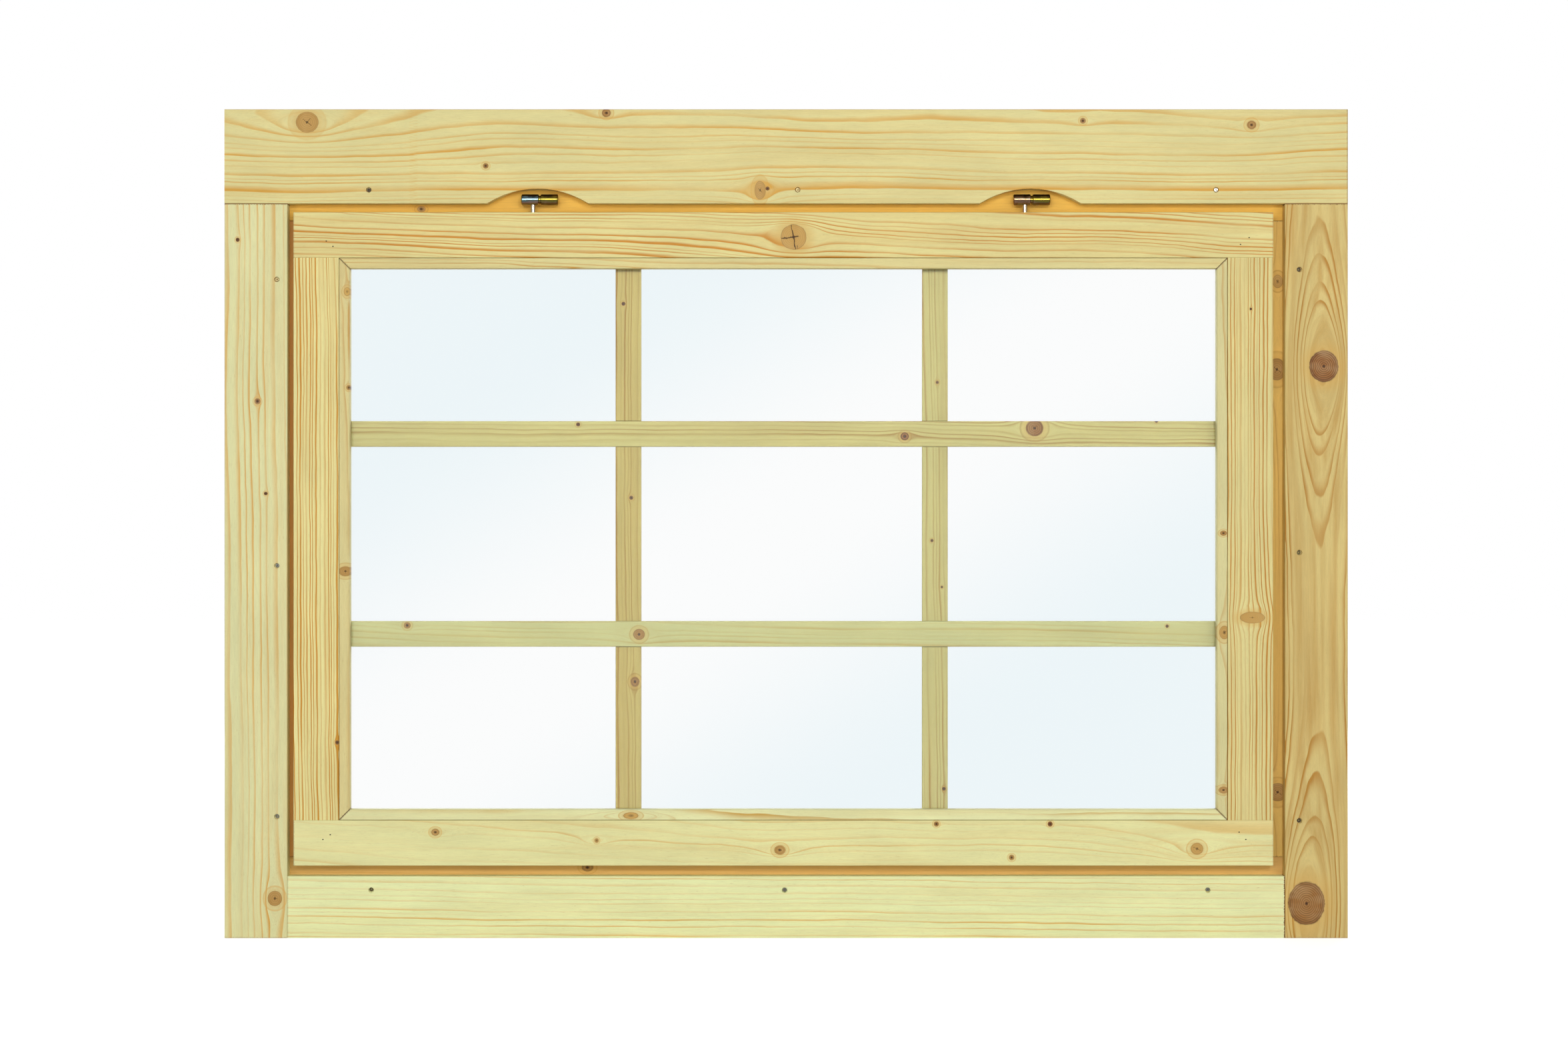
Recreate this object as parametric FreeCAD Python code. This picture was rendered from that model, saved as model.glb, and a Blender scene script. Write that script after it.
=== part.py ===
"""Top hung awning window for a timber garden building.

A softwood box frame carries four casing boards on its outer face. A lipped sash hangs from two drill-in
hinges in front of the frame and swings outwards at the bottom. The sash holds one pane behind mitred beads,
and a lattice of half-lapped glazing bars lies behind the pane.

Millimetres. +X is to the right seen from outdoors, +Y runs into the building and +Z is up. The origin is on
the underside of the frame's sill, halfway along it, in the plane of the wall's outer face.
"""

import FreeCAD
import Part

import math
import os

from FreeCAD import Vector

# Sash: outer size, timber section with its glazing rebate, and the lip that closes over the frame
sash_width = 1184.0
sash_height = 790.0
sash_face_width = 55.0
rebate_width = 9.0
sash_timber_depth = 44.0
lip_depth = 22.0
lip_lap = 8.0
sash_clearance = 4.0
tenon_depth = 12.0
tenon_setback = 7.0

# Glazing: one pane behind mitred beads, which hide the rebate that it rests in
bead_width = 13.0
bead_depth = 14.0
bead_round = 2.0
bead_joint = 0.6
glass_thickness = 4.0
glass_edge_gap = 3.0

# Glazing bars, halved into each other behind the pane, each set off even spacing by hand
bar_width = 31.0
bar_depth = 12.0
bar_glass_gap = 0.3
bar_lap_gap = 0.4
left_bar_set = -7.0
right_bar_set = 3.0
upper_bar_set = 12.0
lower_bar_set = 0.0

# Box frame behind the casing
frame_timber_width = 45.0
frame_timber_depth = 70.0

# Casing boards, and the strip of frame that shows between each board and the sash
casing_thickness = 18.0
casing_head_width = 114.0
casing_side_width = 76.0
casing_bottom_width = 75.0
reveal_top = 11.0
reveal_bottom = 13.0
reveal_left = 8.0
reveal_right = 15.0

# Shallow pockets for the screws that fix each casing board to the frame, near the board's inner edge, each
# set off even spacing by hand: left to right on the level boards, bottom to top on the sides
screw_hole_diameter = 6.5
screw_hole_depth = 3.0
head_screw_inset = 16.5
bottom_screw_inset = 17.0
left_screw_inset = 12.7
right_screw_inset = 17.5
level_screw_reach = 508.0
side_screw_drop = 85.0
side_screw_rise = 145.0
head_screw_sets = (3.0, 14.0, 12.0)
bottom_screw_sets = (6.0, -2.0, 2.0)
left_screw_sets = (2.0, -24.0, -7.0)
right_screw_sets = (-3.0, -8.0, 5.0)

# Drill-in hinges, and the scallops in the head board that clear them, each pair set off the middle by hand
hinge_spacing = 596.0
hinge_set = 3.0
scallop_set = 1.0
hinge_rise = 16.0
knuckle_diameter = 13.5
knuckle_length = 21.2
knuckle_chamfer = 1.0
knuckle_cap = 3.0
washer_diameter = 10.0
washer_thickness = 2.0
pivot_diameter = 7.0
pivot_clearance = 0.05
pivot_end_gap = 1.0
drill_pin_diameter = 6.0
drill_pin_offset = 8.2
drill_pin_bite = 30.0
drill_pin_clearance = 0.05
scallop_width = 123.0
scallop_rise = 18.0

# Radius that eases the worked edges of the timber
arris = 1.0

# Depths, from the lip that closes on the frame's front face: sash face, pane, sash back
lip_back = 0.0
sash_face = lip_back - lip_depth
glass_face = sash_face + bead_depth
rebate_back = glass_face + glass_thickness
sash_back = sash_face + sash_timber_depth
bar_face = rebate_back + bar_glass_gap
bar_back = bar_face + bar_depth
tenon_face = lip_back + tenon_setback
tenon_back = tenon_face + tenon_depth

# Places across and up the window
sash_timber_width = sash_face_width + rebate_width
lip_width = lip_lap + sash_clearance
sash_right = sash_width / 2
sash_left = -sash_right
sash_bottom = frame_timber_width - lip_lap
sash_top = sash_bottom + sash_height
sash_middle = (sash_bottom + sash_top) / 2
daylight_width = sash_width - 2 * sash_timber_width
daylight_height = sash_height - 2 * sash_timber_width
frame_right = sash_right - lip_lap + frame_timber_width
frame_left = -frame_right
frame_top = sash_top - lip_lap + frame_timber_width
casing_opening_left = sash_left - reveal_left
casing_opening_right = sash_right + reveal_right
casing_opening_bottom = sash_bottom - reveal_bottom
casing_opening_top = sash_top + reveal_top
casing_left = casing_opening_left - casing_side_width
casing_right = casing_opening_right + casing_side_width
casing_bottom = casing_opening_bottom - casing_bottom_width
casing_middle = (casing_opening_left + casing_opening_right) / 2
hinge_depth = (sash_face + lip_back) / 2
hinge_height = sash_top + hinge_rise
hinge_places = {"left": hinge_set - hinge_spacing / 2, "right": hinge_set + hinge_spacing / 2}
scallop_places = (scallop_set - hinge_spacing / 2, scallop_set + hinge_spacing / 2)

ALONG_X = Vector(1, 0, 0)
ALONG_Y = Vector(0, 1, 0)
ALONG_Z = Vector(0, 0, 1)


def outline(corners, place):
    """A closed face through (u, v, radius) corners, each rounded to its radius, put in space by place(u, v)."""
    points = [Vector(u, v, 0) for u, v, _ in corners]
    starts, ends, middles = [], [], []
    for i, (_, _, radius) in enumerate(corners):
        here = points[i]
        to_last = (points[i - 1] - here).normalize()
        to_next = (points[(i + 1) % len(points)] - here).normalize()
        half = to_last.getAngle(to_next) / 2
        bisector = (to_last + to_next).normalize()
        starts.append(here + to_last * (radius / math.tan(half)))
        ends.append(here + to_next * (radius / math.tan(half)))
        middles.append(here + bisector * (radius / math.sin(half) - radius))
    edges = []
    for i, (_, _, radius) in enumerate(corners):
        a, m, b = (place(p.x, p.y) for p in (starts[i], middles[i], ends[i]))
        if radius > 0:
            edges.append(Part.Arc(a, m, b).toShape())
        following = starts[(i + 1) % len(corners)]
        edges.append(Part.LineSegment(b, place(following.x, following.y)).toShape())
    return Part.Face(Part.Wire(edges))


def level_member(section, x0, x1):
    """A member that runs along X, from a section of (depth, height, radius) corners."""
    return outline(section, lambda y, z: Vector(x0, y, z)).extrude(ALONG_X * (x1 - x0))


def upright_member(section, z0, z1):
    """A member that runs along Z, from a section of (across, depth, radius) corners."""
    return outline(section, lambda x, y: Vector(x, y, z0)).extrude(ALONG_Z * (z1 - z0))


def block(x0, x1, y0, y1, z0, z1):
    """A plain rectangular block between two corners."""
    return Part.makeBox(x1 - x0, y1 - y0, z1 - z0, Vector(x0, y0, z0))


def rod(diameter, start, end):
    """A round bar from one point to another."""
    return Part.makeCylinder(diameter / 2, (end - start).Length, start, end - start)


def mirrored_x(shape):
    """The same shape on the other side of the window's middle."""
    return shape.mirror(Vector(0, 0, 0), ALONG_X)


def mirrored_z(shape):
    """The same shape at the other end of the sash, up or down."""
    return shape.mirror(Vector(0, 0, sash_middle), ALONG_Z)


def screw_hole(x, z):
    """The shallow pocket of one casing screw, sunk from the board's face."""
    face = Vector(x, -casing_thickness, z)
    return rod(screw_hole_diameter, face, face + ALONG_Y * screw_hole_depth)


def level_casing(x0, x1, z0, z1, screw_height, screw_sets):
    """A level casing board with eased face edges and its row of screw holes."""
    section = [
        (0, z0, 0),
        (-casing_thickness, z0, arris),
        (-casing_thickness, z1, arris),
        (0, z1, 0),
    ]
    board = level_member(section, x0, x1)
    even = (casing_middle - level_screw_reach, casing_middle, casing_middle + level_screw_reach)
    return board.cut([screw_hole(x + off, screw_height) for x, off in zip(even, screw_sets)])


def side_casing(x0, x1, screw_x, screw_sets):
    """An upright casing board that stands under the head board, with its column of screw holes."""
    section = [
        (x0, 0, 0),
        (x0, -casing_thickness, arris),
        (x1, -casing_thickness, arris),
        (x1, 0, 0),
    ]
    board = upright_member(section, casing_bottom, casing_opening_top)
    highest = casing_opening_top - side_screw_drop
    lowest = casing_bottom + side_screw_rise
    even = (lowest, (lowest + highest) / 2, highest)
    return board.cut([screw_hole(screw_x, z + off) for z, off in zip(even, screw_sets)])


def scallop(x):
    """The round scoop that a saw blade leaves in the head board's lower edge, over one hinge."""
    radius = (scallop_width**2 / 4 + scallop_rise**2) / (2 * scallop_rise)
    centre = Vector(x, 0, casing_opening_top + scallop_rise - radius)
    return rod(2 * radius, centre - ALONG_Y * casing_thickness, centre)


def casing():
    """The four boards on the frame's outer face."""
    head = level_casing(
        casing_left,
        casing_right,
        casing_opening_top,
        casing_opening_top + casing_head_width,
        casing_opening_top + head_screw_inset,
        head_screw_sets,
    )
    bottom = level_casing(
        casing_opening_left,
        casing_opening_right,
        casing_bottom,
        casing_opening_bottom,
        casing_opening_bottom - bottom_screw_inset,
        bottom_screw_sets,
    )
    left_screws = casing_opening_left - left_screw_inset
    right_screws = casing_opening_right + right_screw_inset
    return {
        "casing_head": head.cut([scallop(x) for x in scallop_places]),
        "casing_bottom": bottom,
        "casing_left": side_casing(casing_left, casing_opening_left, left_screws, left_screw_sets),
        "casing_right": side_casing(casing_opening_right, casing_right, right_screws, right_screw_sets),
    }


def frame():
    """The box frame: head and sill run through, and the jambs stand between them."""
    depth = frame_timber_depth
    opening_bottom = frame_timber_width
    opening_top = frame_top - frame_timber_width
    opening_left = frame_left + frame_timber_width
    sill_section = [(0, 0, 0), (0, opening_bottom, arris), (depth, opening_bottom, arris), (depth, 0, arris)]
    head_section = [(0, opening_top, arris), (0, frame_top, 0), (depth, frame_top, arris), (depth, opening_top, arris)]
    jamb_section = [(frame_left, 0, 0), (opening_left, 0, arris), (opening_left, depth, arris), (frame_left, depth, arris)]
    pin_holes = [drill_hole(frame_pin_path(x)) for x in hinge_places.values()]
    left_jamb = upright_member(jamb_section, opening_bottom, opening_top)
    return {
        "frame_sill": level_member(sill_section, frame_left, frame_right),
        "frame_head": level_member(head_section, frame_left, frame_right).cut(pin_holes),
        "frame_left_jamb": left_jamb,
        "frame_right_jamb": mirrored_x(left_jamb),
    }


def top_rail():
    """The sash's top rail: lip, glazing rebate and an open slot at each end for the stile's tenon."""
    rebate = sash_top - sash_face_width
    inner = sash_top - sash_timber_width
    body_top = sash_top - lip_width
    section = [
        (sash_face, sash_top, arris),
        (sash_face, rebate, arris),
        (rebate_back, rebate, 0),
        (rebate_back, inner, arris),
        (sash_back, inner, arris),
        (sash_back, body_top, arris),
        (lip_back, body_top, 0),
        (lip_back, sash_top, arris),
    ]
    rail = level_member(section, sash_left, sash_right)
    body_left = sash_left + lip_width
    stile_inner = sash_left + sash_timber_width
    lip_step = block(sash_left, body_left, lip_back, sash_back, inner, body_top)
    slot = block(body_left, stile_inner, tenon_face, tenon_back, inner, body_top)
    return rail.cut([lip_step, slot, mirrored_x(lip_step), mirrored_x(slot)])


def left_stile():
    """A sash stile: its face runs on to meet the rail in the rebate, and its tenon fills the rail's slot."""
    face_inner = sash_left + sash_face_width
    inner = sash_left + sash_timber_width
    body_left = sash_left + lip_width
    section = [
        (sash_left, sash_face, arris),
        (face_inner, sash_face, arris),
        (face_inner, rebate_back, 0),
        (inner, rebate_back, arris),
        (inner, sash_back, arris),
        (body_left, sash_back, arris),
        (body_left, lip_back, 0),
        (sash_left, lip_back, arris),
    ]
    long_shoulder = sash_top - sash_face_width
    short_shoulder = sash_top - sash_timber_width
    stile = upright_member(section, sash_bottom + sash_face_width, long_shoulder)
    relief = block(sash_left, inner, rebate_back, sash_back, short_shoulder, long_shoulder)
    tenon = block(body_left, inner, tenon_face, tenon_back, short_shoulder, sash_top - lip_width)
    stile = stile.cut([relief, mirrored_z(relief)])
    return stile.fuse([tenon, mirrored_z(tenon)]).removeSplitter()


def sash():
    """The sash's two rails and two stiles."""
    rail = top_rail()
    stile = left_stile()
    pin_holes = [drill_hole(sash_pin_path(x)) for x in hinge_places.values()]
    return {
        "sash_top_rail": rail.cut(pin_holes),
        "sash_bottom_rail": mirrored_z(rail),
        "sash_left_stile": stile,
        "sash_right_stile": mirrored_x(stile),
    }


def bead(corners):
    """One mitred bead from its face outline, whose last side lies along the pane and is rounded over."""
    base = Part.Face(Part.makePolygon([Vector(x, sash_face, z) for x, z in corners + corners[:1]]))
    strip = base.extrude(ALONG_Y * bead_depth)
    (x0, z0), (x1, z1) = corners[2], corners[3]
    middle = Vector((x0 + x1) / 2, sash_face, (z0 + z1) / 2)
    inner_edge = min(strip.Edges, key=lambda edge: edge.CenterOfMass.distanceToPoint(middle))
    return strip.makeFillet(bead_round, [inner_edge])


def beads():
    """The four beads that hold the pane in the sash, a joint's width off the rebate and off each other."""
    outer_x = sash_right - sash_face_width - bead_joint
    outer_z = sash_height / 2 - sash_face_width - bead_joint
    inner_x = sash_right - sash_face_width - bead_width
    inner_z = sash_height / 2 - sash_face_width - bead_width
    play = bead_joint / 2
    top = bead(
        [
            (outer_x - play, sash_middle + outer_z),
            (-outer_x + play, sash_middle + outer_z),
            (-inner_x + play, sash_middle + inner_z),
            (inner_x - play, sash_middle + inner_z),
        ]
    )
    left = bead(
        [
            (-outer_x, sash_middle + outer_z - play),
            (-outer_x, sash_middle - outer_z + play),
            (-inner_x, sash_middle - inner_z + play),
            (-inner_x, sash_middle + inner_z - play),
        ]
    )
    return {
        "bead_top": top,
        "bead_bottom": mirrored_z(top),
        "bead_left": left,
        "bead_right": mirrored_x(left),
    }


def glass():
    """The pane, held between the beads and the back of the rebate."""
    reach_x = sash_right - sash_face_width - glass_edge_gap
    reach_z = sash_height / 2 - sash_face_width - glass_edge_gap
    pane = block(-reach_x, reach_x, glass_face, rebate_back, sash_middle - reach_z, sash_middle + reach_z)
    return {"glass_pane": pane}


def bars():
    """The glazing bars: level bars pass in front of the upright ones, and each is halved where they cross."""
    half = bar_width / 2
    step_x = (daylight_width + bar_width) / 3
    step_z = (daylight_height + bar_width) / 3
    upright_places = {"left": -step_x / 2 + left_bar_set, "right": step_x / 2 + right_bar_set}
    level_places = {
        "upper": sash_middle + step_z / 2 + upper_bar_set,
        "lower": sash_middle - step_z / 2 + lower_bar_set,
    }
    lap = (bar_face + bar_back) / 2
    notch = half + bar_lap_gap
    made = {}
    for name, z in level_places.items():
        section = [
            (bar_face, z - half, arris),
            (bar_face, z + half, arris),
            (bar_back, z + half, arris),
            (bar_back, z - half, arris),
        ]
        halvings = [block(x - notch, x + notch, lap, bar_back, z - half, z + half) for x in upright_places.values()]
        made[f"bar_{name}"] = level_member(section, -daylight_width / 2, daylight_width / 2).cut(halvings)
    for name, x in upright_places.items():
        section = [
            (x - half, bar_face, arris),
            (x + half, bar_face, arris),
            (x + half, bar_back, arris),
            (x - half, bar_back, arris),
        ]
        halvings = [block(x - half, x + half, bar_face, lap, z - notch, z + notch) for z in level_places.values()]
        ends = (sash_middle - daylight_height / 2, sash_middle + daylight_height / 2)
        made[f"bar_{name}"] = upright_member(section, *ends).cut(halvings)
    return made


def sash_pin_path(x):
    """The two ends of the pin that a hinge's moving leaf drives down into the sash."""
    top = Vector(x - drill_pin_offset, hinge_depth, hinge_height)
    return top, Vector(top.x, top.y, sash_top - drill_pin_bite)


def frame_pin_path(x):
    """The two ends of the pin that a hinge's fixed leaf drives back into the frame."""
    front = Vector(x + drill_pin_offset, hinge_depth, hinge_height)
    return front, Vector(front.x, drill_pin_bite, front.z)


def drill_hole(path):
    """The hole that takes one drill-in pin, a little wider and deeper than the pin."""
    start, end = path
    past = (end - start).normalize() * drill_pin_clearance
    return rod(drill_pin_diameter + 2 * drill_pin_clearance, start, end + past)


def knuckle(x0, x1):
    """One turned knuckle on the hinge line, with both ends chamfered."""
    start = Vector(x0, hinge_depth, hinge_height)
    barrel = rod(knuckle_diameter, start, start + ALONG_X * (x1 - x0))
    rims = [edge for edge in barrel.Edges if edge.isClosed()]
    return barrel.makeChamfer(knuckle_chamfer, rims)


def hinge(side, x):
    """One drill-in hinge: the leaf in the sash turns on the pivot of the leaf in the frame."""
    half_gap = washer_thickness / 2
    centre = Vector(x, hinge_depth, hinge_height)
    bore_end = centre - ALONG_X * (half_gap + knuckle_length - knuckle_cap)
    bore = rod(pivot_diameter + 2 * pivot_clearance, centre, bore_end)
    pivot = rod(pivot_diameter, centre + ALONG_X * half_gap, bore_end + ALONG_X * pivot_end_gap)
    washer = rod(washer_diameter, centre - ALONG_X * half_gap, centre + ALONG_X * half_gap)
    moving = knuckle(x - half_gap - knuckle_length, x - half_gap)
    moving = moving.fuse(rod(drill_pin_diameter, *sash_pin_path(x))).cut(bore)
    fixed = knuckle(x + half_gap, x + half_gap + knuckle_length)
    fixed = fixed.fuse([rod(drill_pin_diameter, *frame_pin_path(x)), pivot])
    ring_bore = rod(
        pivot_diameter + 2 * pivot_clearance, centre - ALONG_X * washer_thickness, centre + ALONG_X * washer_thickness
    )
    return {
        f"hinge_{side}_sash_leaf": moving.removeSplitter(),
        f"hinge_{side}_frame_leaf": fixed.removeSplitter(),
        f"hinge_{side}_washer": washer.cut(ring_bore),
    }


def window():
    """Every named piece of the window."""
    pieces = {**casing(), **frame(), **sash(), **beads(), **glass(), **bars()}
    for side, x in hinge_places.items():
        pieces.update(hinge(side, x))
    return pieces


os.makedirs("parts", exist_ok=True)
for name, shape in window().items():
    shape.exportStep(f"parts/{name}.step")
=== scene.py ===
"""Dresses the top hung awning window: planed spruce, float glass, zinc plated hinges, screws and brads."""

import math
from dataclasses import dataclass

import bpy
from mathutils import Matrix, Vector


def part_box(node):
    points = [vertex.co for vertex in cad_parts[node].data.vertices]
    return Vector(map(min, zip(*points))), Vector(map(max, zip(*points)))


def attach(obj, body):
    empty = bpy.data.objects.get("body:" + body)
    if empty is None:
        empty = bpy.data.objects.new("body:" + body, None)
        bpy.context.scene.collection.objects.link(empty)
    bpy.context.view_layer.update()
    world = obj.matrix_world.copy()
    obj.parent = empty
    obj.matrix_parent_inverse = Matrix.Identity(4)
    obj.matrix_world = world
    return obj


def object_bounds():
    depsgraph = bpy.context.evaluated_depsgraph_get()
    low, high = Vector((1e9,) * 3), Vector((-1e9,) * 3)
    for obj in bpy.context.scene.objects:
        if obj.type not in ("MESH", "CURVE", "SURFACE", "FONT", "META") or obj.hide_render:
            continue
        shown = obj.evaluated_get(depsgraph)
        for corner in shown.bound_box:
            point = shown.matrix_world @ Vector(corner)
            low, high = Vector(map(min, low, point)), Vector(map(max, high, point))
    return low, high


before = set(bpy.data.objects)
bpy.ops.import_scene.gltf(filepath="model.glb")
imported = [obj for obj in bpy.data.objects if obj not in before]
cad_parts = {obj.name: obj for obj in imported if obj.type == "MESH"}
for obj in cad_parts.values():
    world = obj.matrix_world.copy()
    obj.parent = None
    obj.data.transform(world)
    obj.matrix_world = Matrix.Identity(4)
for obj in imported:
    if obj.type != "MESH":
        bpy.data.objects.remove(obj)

bl_info = {
    "name": "Top hung awning window",
    "version": (1, 0, 0),
    "blender": (4, 5, 0),
    "location": "3D View > Sidebar > Window",
    "description": "Finishes, fastenings and studio for a timber awning window",
    "category": "Object",
}

MM = 0.001
CAD_LOW, CAD_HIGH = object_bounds()


def linear(code):
    """The linear RGBA of an sRGB hex colour."""
    channels = [int(code[i : i + 2], 16) / 255 for i in (1, 3, 5)]
    return tuple(c / 12.92 if c <= 0.04045 else ((c + 0.055) / 1.055) ** 2.4 for c in channels) + (1.0,)


def opaque(colour):
    """A colour setting as the RGBA that a node's socket takes."""
    return (*colour, 1.0)


# Kinds of node that come up often. In a Map Range, socket 0 is the value, 1 and 2 are the range it comes from
# and 3 and 4 the range it goes to. In a Mix, 0 is the share, and what is mixed are the numbers at 2 and 3,
# the vectors at 4 and 5 or the colours at 6 and 7.
MATH = "ShaderNodeMath"
VECTOR_MATH = "ShaderNodeVectorMath"
MAP_RANGE = "ShaderNodeMapRange"
MIX = "ShaderNodeMix"
NOISE = "ShaderNodeTexNoise"
SPLIT = "ShaderNodeSeparateXYZ"


def add(tree, kind, inputs=None, **settings):
    """Adds one node: settings are its properties, inputs are values or sockets to link, by name or number."""
    made = tree.nodes.new(kind)
    for key, value in settings.items():
        setattr(made, key, value)
    for key, value in (inputs or {}).items():
        if isinstance(value, bpy.types.NodeSocket):
            tree.links.new(value, made.inputs[key])
        else:
            made.inputs[key].default_value = value
    return made


def blank_material(name):
    """A new material and its emptied node tree."""
    made = bpy.data.materials.new(name)
    made.use_nodes = True
    made.node_tree.nodes.clear()
    return made, made.node_tree


# Boards


@dataclass
class Knot:
    """A branch that the saw cut through: its heart and half sizes in mm, and the wood round it.

    Along and across are the window's own X and Z, in the order in which the board runs. Rise is how far the
    trunk swelled over the branch, in mm, parting is how far its fibres part, and cracks is how far its cracks
    reach, in knot radii.
    """

    along: float
    across: float
    half_length: float
    half_width: float
    darkness: float
    rise: float = 0.0
    parting: float = 0.94
    cracks: float = 0.5


@dataclass
class Board:
    """How one piece of timber was sawn from its log. Lengths are in mm, in the window's frame.

    Runs is the axis that the grain follows. Early and late are the colours of a year's two kinds of wood.
    Pith and lean are (across the face, into the board): where the log's middle is and how it drifts along
    the board. Ring is the width of a year and bow how far its line wanders. Strength and sharpness say how
    dark and how thin the lines are, and bands how warm the wood between them gets. The colour given for the
    outer face, where it differs, is painted light on the frame boards: warm light bounced in the gap round
    the sash, and painted shade where that gap is narrow. The last setting is how dark the cut ends are, the
    left or lower one first: partly torn end grain, partly painted shade in the joint where two boards butt.
    """

    node: str
    runs: str
    early: str
    late: str
    pith: tuple
    ring: float
    seed: float
    lean: tuple = (0.0, 0.0)
    bow: float = 14.0
    strength: float = 1.0
    knots: tuple = ()
    painted_gap_light: str = ""
    finger_joint: float | None = None
    mitred: bool = False
    sharpness: float = 2.8
    bands: float = 0.2
    end_fray_and_shade: tuple = (0.6, 0.6)


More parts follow.
